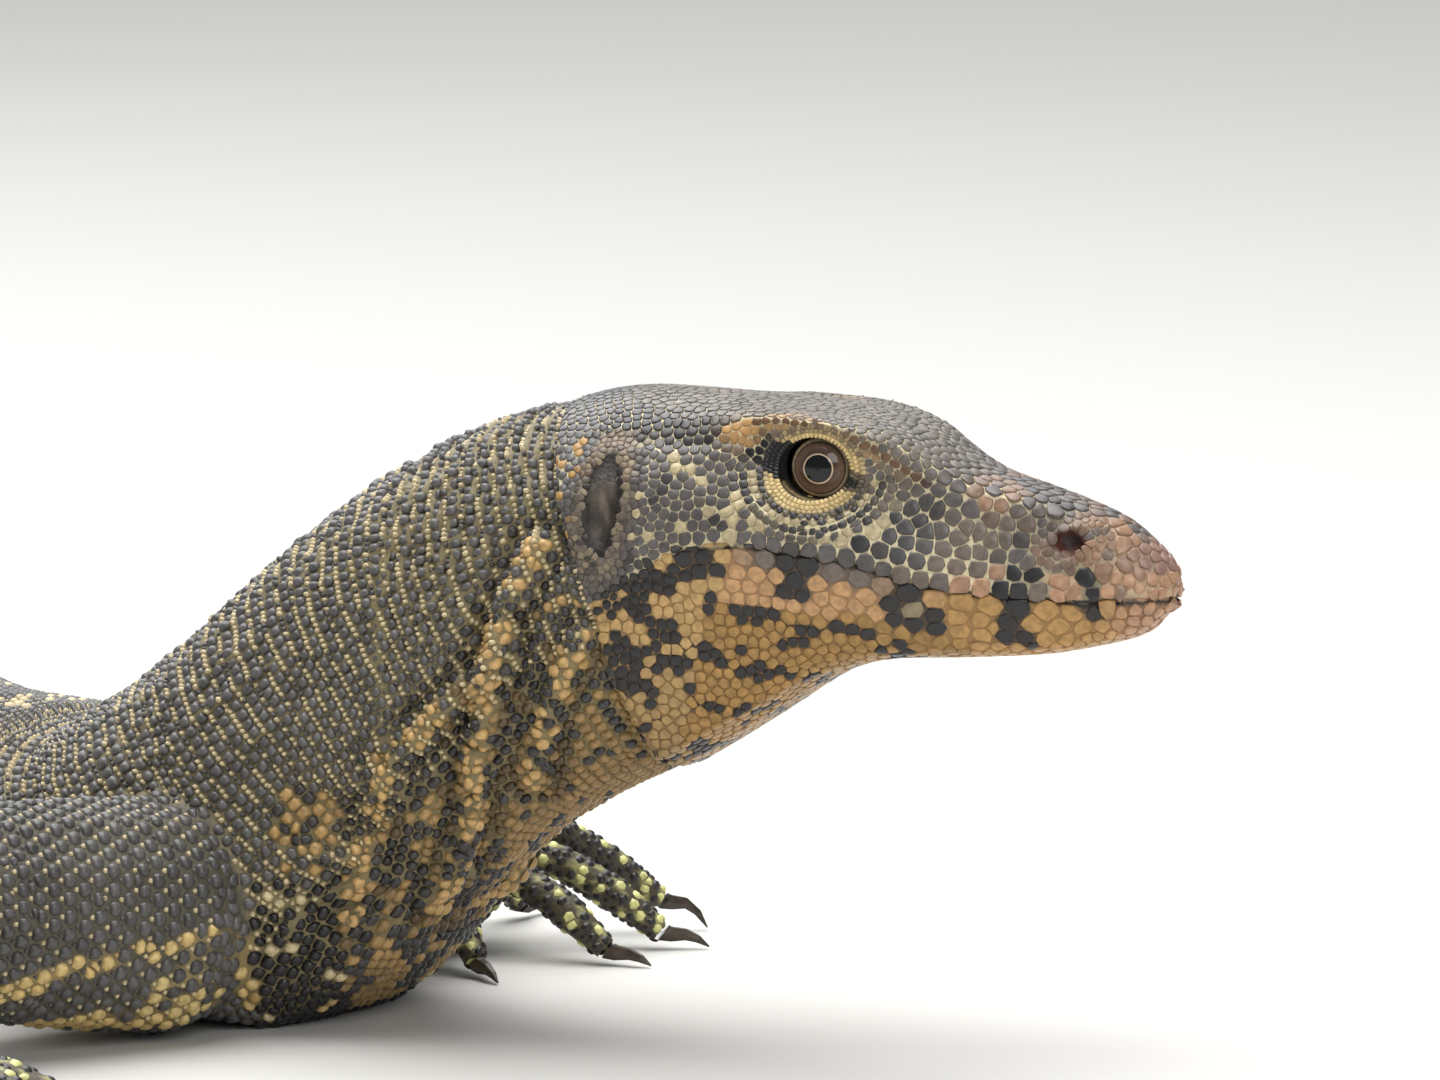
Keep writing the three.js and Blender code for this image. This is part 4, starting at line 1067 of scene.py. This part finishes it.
def girth_row(place, number, between):
    """One row across the body: where its rays start and point, and (place, turn, between) for each bead."""
    k = int(place - NECK_START)
    high, wide = half_high(place), half_wide(place)
    around = math.pi * (3 * (high + wide) - math.sqrt((3 * high + wide) * (high + 3 * wide)))
    beads = max(6, round(around / float(bead_pitch(place)))) * (2 if between else 1)
    # equal steps along the girth rather than in angle
    turns = np.linspace(0, 2 * math.pi, 361)
    steps = np.hypot(np.diff(wide * np.sin(turns)), np.diff(high * np.cos(turns)))
    girth = np.concatenate([[0], np.cumsum(steps)])
    t = np.interp((np.arange(beads) + 0.5 * (number % 2 or between)) / beads * girth[-1], girth, turns)
    way = np.sin(t)[:, None] * wide * spine_right[k] + np.cos(t)[:, None] * high * spine_up[k]
    way /= np.linalg.norm(way, axis=1, keepdims=True)
    strayed = place + wobble(np.full(beads, place), from_top(t))
    k = np.clip(np.round(strayed - NECK_START).astype(int), 0, len(spine_s) - 1)
    origin = spine_at[k] - spine_ahead[k] * (strayed - spine_s[k])[:, None] * MM
    return origin, way, np.stack([np.full(beads, place), t, np.full(beads, between)], 1)


between_places = [place + 0.5 * float(row_pitch(place)) for place in row_places if place < GRANULES_TO]
bead_rows = [girth_row(place, number, False) for number, place in enumerate(row_places)]
bead_rows += [girth_row(place, number, True) for number, place in enumerate(between_places)]
origins, ways, facts = (np.vstack(x) for x in zip(*bead_rows))
places, normals, found = cast(origins, ways, BODY_REACH)
on_trunk = found & within(owners(places), TRUNK_SET)
places, normals, facts = places[on_trunk], normals[on_trunk], facts[on_trunk]
s, granule = facts[:, 0], facts[:, 2] == 1
top_angle = from_top(facts[:, 1])
side_x, side_z = side_view(places, s, top_angle)
flank = np.abs(top_angle)
on_throat = (yellow_share(side_x, side_z, s) > 0.3) & (flank > 56) | (flank > 128)
wanted = ~(granule & on_throat)
places, normals, unwrap, s, granule = (
    x[wanted] for x in (places, normals, np.stack([s, facts[:, 1]], 1), s, granule)
)
ahead = spine_ahead[spine_index(s)]
small = np.interp(s[granule], (10, GRANULES_TO), (1, 0.55))
add_roots("granules", places[granule], normals[granule], ahead[granule],
          0.66 * small, 0.56 * small, 0.68 * small, unwrap[granule])


def lengthwise(s):
    """Which group of scales a distance along the spine falls in, as (group, mask) pairs."""
    return (
        ("neck", s < SHOULDER_FROM),
        ("shoulder", (s >= SHOULDER_FROM) & (s < TRUNK_SCALES_FROM)),
        ("trunk", (s >= TRUNK_SCALES_FROM) & (s < VENT)),
        ("tail", s >= VENT),
    )


BEAD_HEIGHT = {"neck": 0.85, "shoulder": 0.85, "trunk": 0.62, "tail": 0.6}
for group, mask in lengthwise(s):
    mask &= ~granule
    height = np.minimum(BEAD_HEIGHT[group], half_wide(s[mask]) * 0.05 + 0.1)
    add_roots(group, places[mask], normals[mask], ahead[mask],
              row_pitch(s[mask]) * 0.52, bead_pitch(s[mask]) * 0.55, height, unwrap[mask])


# Rows of the legs: the same beads in rings round each upper and lower leg, from the body to the wrist or
# ankle, with granules between the rings of the fore legs.
def beside(s, forward, right, up):
    """A place beside the spine: so far forward and to the right of it, and so far over the floor, in mm."""
    k = int(s - NECK_START)
    foot = spine_at[k] + (forward * spine_ahead[k] + right * spine_right[k]) * MM
    return np.array([foot[0], foot[1], up * MM])


def from_snout(x, y, z):
    return (np.array([x, y, z]) + SPINE_ORIGIN) * MM


# shoulder or hip, elbow or knee, wrist or ankle
LIMB_JOINTS = (
    (beside(0, 12, 33, 21), from_snout(-232, 2, 29), from_snout(-219, -42, 11)),
    (beside(0, 5, -33, 27), from_snout(-164, 150, 46), from_snout(-141, 128, 12)),
    (beside(352, 0, 28, 30), beside(352, 34, 94, 36), beside(352, -20, 118, 11)),
    (beside(352, 0, -28, 30), beside(352, 16, -98, 38), beside(352, -36, -104, 11)),
)
FORE_LEGS = 2  # the first two
LIMB_PITCH, LIMB_BEAD = 2.9, 2.5
THICK_BEADS, THIN_BEADS = 34, 28


def limb_rings(joints, index):
    """Rays of the rings from joint to joint, with (distance, turn) and the way forward for each bead."""
    rows = []
    travelled = 0
    for a, b in zip(joints, joints[1:]):
        length = np.linalg.norm(b - a) / MM
        axis = (b - a) / np.linalg.norm(b - a)
        aside = np.cross(axis, [0, 0, 1])
        aside /= np.linalg.norm(aside)
        upward = np.cross(aside, axis)
        for number in range(int(length / LIMB_PITCH) + 3):
            beads = THICK_BEADS if travelled < 10 else THIN_BEADS
            t = (np.arange(beads) + 0.5 * (number % 2)) / beads * 2 * math.pi
            centre = a + axis * (number * LIMB_PITCH * MM)
            way = np.cos(t)[:, None] * upward + np.sin(t)[:, None] * aside
            fact = np.stack([travelled + np.full(beads, number * LIMB_PITCH), t + index * 7], 1)
            rows.append((np.repeat(centre[None], beads, 0), way, fact, np.repeat(axis[None], beads, 0)))
        travelled += length
    return (np.vstack(x) for x in zip(*rows))


for index, joints in enumerate(LIMB_JOINTS):
    origins, ways, facts, fronts = limb_rings(joints, index)
    places, normals, found = cast(origins, ways, LIMB_REACH)
    on_arm = found & within(owners(places), ARM_SET)
    add_roots("limbs", places[on_arm], normals[on_arm], fronts[on_arm],
              LIMB_PITCH * 0.52, LIMB_BEAD * 0.55, 0.75, facts[on_arm])
    if index < FORE_LEGS:
        places, normals, found = cast(origins + fronts * (0.5 * LIMB_PITCH * MM), ways, LIMB_REACH)
        on_arm = found & within(owners(places), ARM_SET)
        add_roots("granules", places[on_arm], normals[on_arm], fronts[on_arm],
                  0.55, 0.5, 0.45, facts[on_arm] + np.array([0, 40]))


# Scales of the head: flat plates of horn. Rows of named ones stand along the brow, the lids and both lips,
# and the rest grow as close as each region's own size allows, small at the ear and large on the snout.
def head_pitch(u, w, v):
    """Distance between neighbouring scales of the head, in mm."""
    side = np.abs(w)
    mouth = over_mouth(u, v)
    pitch = np.full(len(u), 1.9)
    pitch = np.where((u > -40) & (v > 8), 2.5, pitch)
    pitch = np.where((u > -46) & (mouth > 0) & (v < 11 - 0.12 * (u + 20)), 3.0, pitch)
    pitch = np.where(u > -9, 2.2, pitch)
    pitch = np.where((np.abs(mouth) < 5.5) & (u > -70) & (u < -9), 3.3, pitch)
    pitch = np.where((mouth < -5.5) & (u > -74), 1.95, pitch)
    pitch = np.where(u < -95, 1.6, pitch)
    lid, ear = lid_oval(u, v), ear_oval(u, v)
    pitch = np.where((side > EYE_SIDE) & (lid < 1.9), 1.0 + 0.9 * np.clip(lid - 1, 0, 1), pitch)
    pitch = np.where((side > EAR_SIDE) & (ear < 2.6), 0.95 + 0.5 * np.clip(ear - 1, 0, 2), pitch)
    return np.where((side > NOSTRIL_SIDE) & (nostril_oval(u, v) < 2), 1.3, pitch)


def bare(u, w, v):
    """Places on the head with no scales: the eyes, nostrils and eardrums, and the gap between the lips."""
    side = np.abs(w)
    between_lids = (side > EYE_SIDE) & (lid_oval(u, v) < 0.88)
    in_ear = (side > EAR_SIDE) & (ear_oval(u, v) < 1.0)
    in_nostril = (side > NOSTRIL_SIDE) & (nostril_oval(u, v) < 0.95)
    between_lips = (np.abs(over_mouth(u, v)) < 0.28) & (u > MOUTH_CORNER + 2)
    on_eye = np.hypot(np.hypot(u - EYE_U, side - EYE_W), v - EYE_V) < EYE_RADIUS + 0.4
    return between_lids | in_ear | in_nostril | between_lips | on_eye


# rows along the lips: height over the mouth, height of a scale, first and last u, length of a scale
LIP_ROWS = (
    (1.7, 2.9, -9, -80, 3.2),
    (4.5, 2.7, -20, -62, 3.1),
    (7.1, 2.5, -24, -52, 3.0),
    (-1.65, 2.8, -9, -80, 4.4),
    (-4.3, 2.5, -10, -80, 4.0),
    (-6.7, 2.3, -14, -80, 3.4),
    (-8.9, 2.1, -18, -78, 3.0),
    (-11, 2.0, -24, -76, 2.7),
)
# rings round the eye, as shares of the opening's half size, and the length of a scale
LID_RINGS = ((0.92, 0.7), (1.03, 0.76), (1.15, 0.84))
FOLD_RINGS = ((1.26, 1.3), (1.44, 1.5), (1.64, 1.7), (1.86, 1.9))
LID_MEAN = 6.8
draw = np.random.default_rng(7)


def head_rows():
    """Rows of named scales on one side of the head: (u, v, length, width, height, kind)."""
    rows = [(u, float(brow_row(u)), 1.45, 1.5, 0.3, "brow") for u in np.arange(-77, -41, 1.75)]
    for ring, size in LID_RINGS:
        count = round(2 * math.pi * ring * LID_MEAN / size)
        for k in range(count):
            t = 2 * math.pi * (k + 0.5 * (0.95 < ring < 1.1)) / count
            u, v = EYE_U + LID_LONG * ring * math.cos(t), EYE_V + LID_HIGH * ring * math.sin(t)
            rows.append((u, v, size, size, 0.26, "lid"))
    for ring, size in FOLD_RINGS:
        count = round(math.pi * ring * LID_MEAN / size)
        for k in range(count):
            t = math.pi * (1.04 + 0.92 * (k + 0.5 * (ring > 1.4)) / count)
            u, v = EYE_U + LID_LONG * ring * math.cos(t), EYE_V + LID_HIGH * ring * math.sin(t)
            if v > mouth_line(-EYE_U) + 2.5:
                rows.append((u, v, size, size * 0.8, 0.4, "fold"))
    for number, (offset, tall, first, last, size) in enumerate(LIP_ROWS):
        u = first - 0.5 * size * (number % 2)
        while u > last:
            length = size * (1 if u > -62 else 0.8) * (1 if u < -14 else 0.75) * draw.uniform(0.86, 1.14)
            stray = draw.uniform(-0.18, 0.18)
            rows.append((u - length / 2, float(mouth_line(-u)) + offset + stray, length, tall, 0.17, "lip"))
            u -= length
    return rows


named_scales = []  # place, normal, length, width, height
for side in (1, -1):
    for u, v, long, wide, high, kind in head_rows():
        outer = Vector(from_head(u, side * 45, v))
        place, _, face, _ = skin_surface.ray_cast(outer, Vector(-side * head_right), HEAD_REACH)
        if place is None or kind == "brow" and abs((np.array(place) / MM - head_origin) @ head_right) < 9:
            continue
        if kind != "lid" and bare(np.array([u]), np.array([side * 20.0]), np.array([v]))[0]:
            continue
        normal = face_normal(face)
        if normal @ head_right * side > 0.3:
            named_scales.append((*place, *normal, long, wide, high))
named_scales = np.array(named_scales)
named_places, named_normals = named_scales[:, :3], named_scales[:, 3:6]
named_long, named_wide, named_high = named_scales[:, 6:].T
named_pitch = np.maximum(named_long, named_wide) * MM

CELL = 0.0035
CELLS_AROUND = [(i, j, k) for i in (-1, 0, 1) for j in (-1, 0, 1) for k in (-1, 0, 1)]
CLOSENESS = 0.41  # of the sum of two pitches


def crowded(point, size, key, grid):
    for i, j, k in CELLS_AROUND:
        for other, other_size in grid.get((key[0] + i, key[1] + j, key[2] + k), ()):
            gap = (point[0] - other[0])**2 + (point[1] - other[1])**2 + (point[2] - other[2])**2
            if gap < (CLOSENESS * (size + other_size))**2:
                return True
    return False


def scatter(face_mask, wanted, pitch_of, taken):
    """Random places on part of the skin, kept where no other is nearer than the local pitch."""
    faces = skin_triangles[face_mask]
    a, b, c = (skin_points[faces[:, k]] for k in range(3))
    area = np.linalg.norm(np.cross(b - a, c - a), axis=1) / 2
    chosen = draw.choice(len(faces), wanted, p=area / area.sum())
    r1, r2 = draw.random((2, wanted))
    flip = r1 + r2 > 1
    r1, r2 = np.where(flip, 1 - r1, r1), np.where(flip, 1 - r2, r2)
    points = a[chosen] + r1[:, None] * (b - a)[chosen] + r2[:, None] * (c - a)[chosen]
    pitch = pitch_of(points) * MM
    points, pitch = points[pitch > 0], pitch[pitch > 0]
    grid = {}
    for place, size in taken:
        grid.setdefault(tuple((np.asarray(place) // CELL).astype(int)), []).append((place, size))
    free = []
    keys = (points // CELL).astype(int)
    for number, (point, size, key) in enumerate(zip(points.tolist(), pitch.tolist(), keys.tolist())):
        if not crowded(point, size, key, grid):
            grid.setdefault(tuple(key), []).append((point, size))
            free.append(number)
    return points[free], pitch[free]


def place_tree(places):
    tree = KDTree(len(places))
    for k, place in enumerate(places.tolist()):
        tree.insert(place, k)
    tree.balance()
    return tree


def relaxed(points, pitch, fixed, rounds):
    """Moves the places apart until they lie evenly, and back onto the skin."""
    for _ in range(rounds):
        tree = place_tree(np.vstack([points, fixed]))
        moved = points.copy()
        for k in range(len(points)):
            push = np.zeros(3)
            for other, _, distance in tree.find_n(points[k].tolist(), 8):
                if 0 < distance < 1.35 * pitch[k]:
                    push += (points[k] - np.array(other)) / distance * (1.35 * pitch[k] - distance)
            moved[k] += push * 0.22
        for k in range(len(points)):
            points[k] = skin_surface.find_nearest(Vector(moved[k]))[0]
    return points


def smooth_normals(points):
    return np.array([face_normal(skin_surface.find_nearest(Vector(point))[2]) for point in points])


def pitch_on_head(points):
    u, w, v = to_head(points)
    return np.where(bare(u, w, v), 0, head_pitch(u, w, v))


def add_head_roots(places, normals, long, wide, high):
    u, w, v = to_head(places)
    ahead = np.repeat(head_ahead[None], len(places), 0)
    unwrap = np.stack([u, np.degrees(np.arctan2(w, v))], 1)
    add_roots("head", places, normals, ahead, long, wide, high, unwrap)


HEAD_TRIES, REST_TRIES = 150000, 170000
head_faces = within(skin_owner[skin_triangles[:, 0]], HEAD_SET)
taken = list(zip(named_places.tolist(), (named_pitch * 0.9).tolist()))
head_places, head_sizes = scatter(head_faces, HEAD_TRIES, pitch_on_head, taken)
head_places = relaxed(head_places, head_sizes, named_places, 5)
scaled = ~bare(*to_head(head_places))
head_places, head_sizes = head_places[scaled], head_sizes[scaled] / MM
u, _, v = to_head(head_places)
crown = (v > 16) & (u < -38)
add_head_roots(head_places, smooth_normals(head_places), head_sizes * np.where(crown, 0.75, 0.62),
               head_sizes * np.where(crown, 0.5, 0.62), np.clip(head_sizes * 0.15, 0.14, 0.34))
add_head_roots(named_places, named_normals, named_long * 0.58, named_wide * 0.58, named_high)


# Scales of the hands and feet: round grains of horn, smaller than those of the legs. The same growth fills
# any bare place on the body where two fields of rows meet.
def pitch_on_rest(points):
    owner = owners(points)
    s, _ = to_spine(points)
    pitch = np.where(within(owner, HAND_SET), 1.75, 2.5)
    pitch = np.where(within(owner, TRUNK_SET), np.minimum(bead_pitch(s), 2.6), pitch)
    return np.where(within(owner, HEAD_SET), 0, pitch)


taken = [(row[:3].tolist(), 1.5 * float(min(row[9], row[10])) * MM) for row in np.vstack(roots)]
rest_places, rest_sizes = scatter(~head_faces, REST_TRIES, pitch_on_rest, taken)
rest_sizes = rest_sizes / MM
rest_owner = owners(rest_places)
rest_s, rest_angle = to_spine(rest_places)
rest_normals = smooth_normals(rest_places)
rest_ahead = spine_ahead[spine_index(rest_s)]
seen_from_top = np.stack([rest_places[:, 0] / MM + rest_places[:, 2], rest_places[:, 1] / MM], 1)
RADIAN = 57.3  # in degrees
along_spine = np.stack([rest_s, rest_angle / RADIAN], 1)
rest_groups = [
    ("hands", within(rest_owner, HAND_SET), seen_from_top),
    ("limbs", within(rest_owner, ARM_SET), seen_from_top),
]
for group, mask in lengthwise(rest_s):
    rest_groups.append((group, mask & within(rest_owner, TRUNK_SET), along_spine))
for group, mask, unwrap in rest_groups:
    size = rest_sizes[mask]
    add_roots(group, rest_places[mask], rest_normals[mask], rest_ahead[mask],
              size * 0.58, size * 0.58, np.clip(size * 0.25, 0.2, 0.6), unwrap[mask])


# Growth of the scales: each is a low dome of horn that reaches half way to its neighbours and no farther
# than its own oval, so the scales fill the skin with thin seams between them. One joined mesh for a field.
scale_roots = np.vstack(roots)
root_place, root_normal = scale_roots[:, :3], scale_roots[:, 3:6]
root_ahead = scale_roots[:, 6:9] - (scale_roots[:, 6:9] * root_normal).sum(1, keepdims=True) * root_normal
root_ahead /= np.linalg.norm(root_ahead, axis=1, keepdims=True)
root_right = np.cross(root_ahead, root_normal)
root_long, root_wide, root_high, root_group = scale_roots[:, 9:13].T
root_unwrap = scale_roots[:, 13:15]
root_size = np.sqrt(root_long * root_wide)
NEIGHBOURS = 12
tree = place_tree(root_place)
near = np.array([
    [hit[1] for hit in tree.find_n(place, NEIGHBOURS + 1)[1:]] for place in root_place.tolist()
])
SMALLEST_REACH = 0.12 * MM
LOWEST_SCALE = 0.02 * MM
UV_PATCH = 0.0015


def outline(select, directions, gap, spare):
    """Reach of each scale in each direction: half way to its neighbours, or its own oval if less."""
    t = 2 * math.pi * np.arange(directions) / directions
    cos, sin = np.cos(t), np.sin(t)
    long, wide = root_long[select, None], root_wide[select, None]
    reach = spare * MM / np.sqrt((cos[None] / long) ** 2 + (sin[None] / wide) ** 2)
    others = near[select]
    offset = root_place[others] - root_place[select][:, None]
    same_side = (root_normal[others] * root_normal[select][:, None]).sum(2) > 0.1
    a = (offset * root_ahead[select][:, None]).sum(2)
    b = (offset * root_right[select][:, None]).sum(2)
    share = root_size[select][:, None] / (root_size[select][:, None] + root_size[others])
    square = a * a + b * b
    for k in range(directions):
        toward = a * cos[k] + b * sin[k]
        limit = np.where((toward > 1e-6) & same_side, share * square / np.maximum(toward, 1e-6), 1.0)
        reach[:, k] = np.minimum(reach[:, k], limit.min(1))
    return np.maximum(reach - gap * MM / 2, SMALLEST_REACH), cos, sin


def dome_faces(directions, rings):
    """Triangles of one scale: a fan round its top, then bands from ring to ring."""
    faces = []
    for k in range(directions):
        after = (k + 1) % directions
        faces.append((0, 1 + k, 1 + after))
        for ring in range(rings - 1):
            upper, lower = 1 + ring * directions, 1 + (ring + 1) * directions
            faces.append((upper + k, lower + k, lower + after))
            faces.append((upper + k, lower + after, upper + after))
    return np.array(faces, np.int32)


def scale_colours(name, select):
    chance = draw.random(len(select))
    s, angle = to_spine(root_place[select])
    colour = marks(root_place[select], owners(root_place[select]), s, angle, chance)
    if name == "granules":
        colour = np.where((chance > 0.7)[:, None], colour * 0.8, 0.85 * CREAM + 0.15 * colour)
    return colour


def scale_field(name, select, directions, rings, gap, sink, spare=1.2):
    """A joined mesh of scales. rings are (share of the reach, share of the height)."""
    reach, cos, sin = outline(select, directions, gap, spare)
    count = len(select)
    colour = scale_colours(name, select)
    place, normal = root_place[select][:, None], root_normal[select]
    height = root_high[select] * MM
    lengthwise_part = cos[None, :, None] * root_ahead[select][:, None]
    round_about = lengthwise_part + sin[None, :, None] * root_right[select][:, None]
    layers = [place + (normal * height[:, None])[:, None]]
    patch = [np.zeros((count, 1, 2))]
    for share, lift in rings:
        rise = height * lift - sink * MM * (lift == 0)
        layers.append(place + (reach * share)[:, :, None] * round_about + (normal * rise[:, None])[:, None])
        patch.append(np.repeat(np.stack([cos, sin], 1)[None] * share, count, 0))
    points = np.concatenate(layers, 1)
    points[:, :, 2] = np.maximum(points[:, :, 2], LOWEST_SCALE)
    faces = dome_faces(directions, len(rings))
    top, first, second = points[0][faces[0]]
    if np.dot(np.cross(first - top, second - top), normal[0]) < 0:
        faces = faces[:, ::-1]
    per_scale = points.shape[1]
    starts = np.arange(count, dtype=np.int32) * per_scale
    triangles = np.ascontiguousarray((faces[None] + starts[:, None, None]).reshape(-1, 3).astype(np.int32))
    mesh = build_mesh(name, points.reshape(-1, 3), triangles)
    # darker at the foot, most on dark scales
    shade = np.repeat(colour[:, None], per_scale, 1)
    shade[:, -directions:] *= np.interp(colour.max(1), (0.1, 0.4), (0.6, 0.9))[:, None, None]
    add_colours(mesh, shade.reshape(-1, 3))
    low, high = root_unwrap[select].min(0), root_unwrap[select].max(0)
    centre = 0.01 + 0.98 * (root_unwrap[select] - low) / np.maximum(high - low, 1e-6)
    flat = (np.concatenate(patch, 1) * UV_PATCH + centre[:, None]).reshape(-1, 2)
    layer = mesh.uv_layers.new(name="OFBake")
    layer.data.foreach_set("uv", flat[triangles.ravel()].ravel())
    mesh.materials.append(scale_material)
    field = link(bpy.data.objects.new(name, mesh))
    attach(field, "root")


def multiplied(tree, first, second):
    """The product of two colours of a material."""
    mix = tree.nodes.new("ShaderNodeMix")
    mix.data_type = "RGBA"
    mix.blend_type = "MULTIPLY"
    mix.inputs["Factor"].default_value = 1
    tree.links.new(first, mix.inputs[6])
    tree.links.new(second, mix.inputs[7])
    return mix.outputs[2]


scale_material, scale_tree, scale_shader = new_material("scales", 0.33)
mottle = pattern(scale_tree, "ShaderNodeTexNoise", 900)
mottle.inputs["Detail"].default_value = 3
lighten = scale_tree.nodes.new("ShaderNodeMapRange")
for limit, value in (("From Min", 0.3), ("From Max", 0.7), ("To Min", 0.75), ("To Max", 1.25)):
    lighten.inputs[limit].default_value = value
scale_tree.links.new(mottle.outputs["Fac"], lighten.inputs["Value"])
scale_tint = attribute_output(scale_tree, "tint", "Color")
mottled_tint = multiplied(scale_tree, scale_tint, lighten.outputs["Result"])
scale_tree.links.new(mottled_tint, scale_shader.inputs["Base Color"])
roughen(scale_tree, scale_shader, mottle.outputs["Fac"], 0.25, 0.0001)

DOME = ((0.5, 0.86), (0.84, 0.45), (1.0, 0.0))
LOW_DOME = ((0.62, 0.72), (1.0, 0.0))
PLATE = ((0.78, 0.97), (0.93, 0.76), (1.0, 0.0))
JAW_LEVEL, FORE_FROM = 0.09, 0.34
where = {group: np.flatnonzero(root_group == k) for k, group in enumerate(GROUPS)}
on_top = root_place[where["head"]][:, 2] >= JAW_LEVEL
in_front = root_place[where["limbs"]][:, 0] > FORE_FROM
scale_field("scales_head_top", where["head"][on_top], 10, PLATE, 0.08, 0.15, 1.6)
scale_field("scales_head_low", where["head"][~on_top], 8, PLATE, 0.08, 0.15, 1.5)
scale_field("scales_neck", where["neck"], 8, DOME, 0.16, 0.2)
scale_field("granules", where["granules"], 6, LOW_DOME, 0.1, 0.15)
scale_field("scales_shoulder", where["shoulder"], 8, DOME, 0.2, 0.2)
scale_field("scales_trunk", where["trunk"], 6, LOW_DOME, 0.2, 0.2)
scale_field("scales_tail", where["tail"], 6, LOW_DOME, 0.16, 0.15)
scale_field("scales_arms", where["limbs"][in_front], 8, DOME, 0.2, 0.2)
scale_field("scales_legs", where["limbs"][~in_front], 8, LOW_DOME, 0.16, 0.2)
scale_field("scales_hands", where["hands"], 6, LOW_DOME, 0.12, 0.15)

# Eyes: a full ball in each socket, glass smooth and wet, with a round pupil in a thin cream ring, a brown
# iris with a pale rim, and black beyond it. The colours are rings about the way that the eye looks.
eye_material, eye_tree, eye_shader = new_material("eye", 0.08)
eye_shader.inputs["Specular IOR Level"].default_value = 0.1
eye_shader.inputs["Coat Weight"].default_value = 0.7
eye_shader.inputs["Coat Roughness"].default_value = 0.02
EYE_RING_COLOURS = (
    (0.0, srgb(6, 6, 8)),
    (0.37, srgb(8, 8, 10)),
    (0.38, srgb(214, 190, 160)),
    (0.4, srgb(190, 160, 130)),
    (0.42, srgb(60, 42, 32)),
    (0.56, srgb(100, 76, 60)),
    (0.66, srgb(126, 104, 88)),
    (0.7, srgb(52, 36, 28)),
    (0.73, srgb(214, 194, 158)),
    (0.785, srgb(200, 172, 132)),
    (0.81, srgb(22, 16, 14)),
    (1.0, srgb(12, 10, 10)),
)
eye_rings = eye_tree.nodes.new("ShaderNodeValToRGB")
while len(eye_rings.color_ramp.elements) < len(EYE_RING_COLOURS):
    eye_rings.color_ramp.elements.new(0.5)
for element, (position, colour) in zip(eye_rings.color_ramp.elements, EYE_RING_COLOURS):
    element.position = position
    element.color = (*colour, 1)
eye_tree.links.new(attribute_output(eye_tree, "radial", "Fac"), eye_rings.inputs["Fac"])
iris_light = attribute_output(eye_tree, "light", "Fac")
lit_rings = multiplied(eye_tree, eye_rings.outputs["Color"], iris_light)
eye_tree.links.new(lit_rings, eye_shader.inputs["Base Color"])
EYE_RINGS, EYE_SPOKES = 64, 72
CORNEA_BULGE = 0.05
eye_triangles = []
for ring in range(EYE_RINGS):
    for spoke in range(EYE_SPOKES):
        a = ring * EYE_SPOKES + spoke
        b = ring * EYE_SPOKES + (spoke + 1) % EYE_SPOKES
        eye_triangles += [(a, a + EYE_SPOKES, b + EYE_SPOKES), (a, b + EYE_SPOKES, b)]
ring_number, spoke_number = np.divmod(np.arange((EYE_RINGS + 1) * EYE_SPOKES), EYE_SPOKES)
from_pupil = math.pi * ring_number / EYE_RINGS
t = 2 * math.pi * spoke_number / EYE_SPOKES
out, forth = np.sin(from_pupil), np.cos(from_pupil)
radial = np.where(from_pupil < math.pi / 2, out, 1)
# the light attribute is painted shade: the upper half of the iris darker and the lower half lighter, with
# fine radial streaks
light = 1 - 0.45 * np.sin(t) * out + 0.12 * np.sin(23 * t) * out
for name, side in (("eye_right", 1), ("eye_left", -1)):
    gaze = 0.11 * head_ahead + side * 0.97 * head_right
    gaze /= np.linalg.norm(gaze)
    aside = np.cross(gaze, [0, 0, 1])
    aside /= np.linalg.norm(aside)
    upward = np.cross(aside, gaze)
    way = forth[:, None] * gaze + out[:, None] * (np.cos(t)[:, None] * aside + np.sin(t)[:, None] * upward)
    bulge = 1 + CORNEA_BULGE * np.maximum(0, forth - 0.6)
    points = from_head(EYE_U, side * EYE_W, EYE_V) + way * (EYE_RADIUS * bulge * MM)[:, None]
    mesh = build_mesh(name + "_ball", points, np.array(eye_triangles, np.int32))
    for attribute_name, values in (("radial", radial), ("light", light)):
        attribute = mesh.attributes.new(attribute_name, "FLOAT", "POINT")
        attribute.data.foreach_set("value", values)
    mesh.materials.append(eye_material)
    ball = link(bpy.data.objects.new(name + "_ball", mesh))
    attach(ball, "root")
    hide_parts(name)

# Claws: dark curved horn, one on each of the twenty digits, with a fine brown grain. They are the frame's
# own pieces and only take their colour here.
claw_material, claw_tree, claw_shader = new_material("claw", 0.28)
grain = pattern(claw_tree, "ShaderNodeTexNoise", 700)
horn = claw_tree.nodes.new("ShaderNodeValToRGB")
horn.color_ramp.elements[0].color = (*srgb(20, 17, 15), 1)
horn.color_ramp.elements[1].color = (*srgb(84, 72, 58), 1)
claw_tree.links.new(grain.outputs["Fac"], horn.inputs["Fac"])
claw_tree.links.new(horn.outputs["Color"], claw_shader.inputs["Base Color"])
for obj in bpy.data.objects:
    if "_claw_" in obj.name and obj.type == "MESH":
        for slot in obj.material_slots:
            slot.material = claw_material
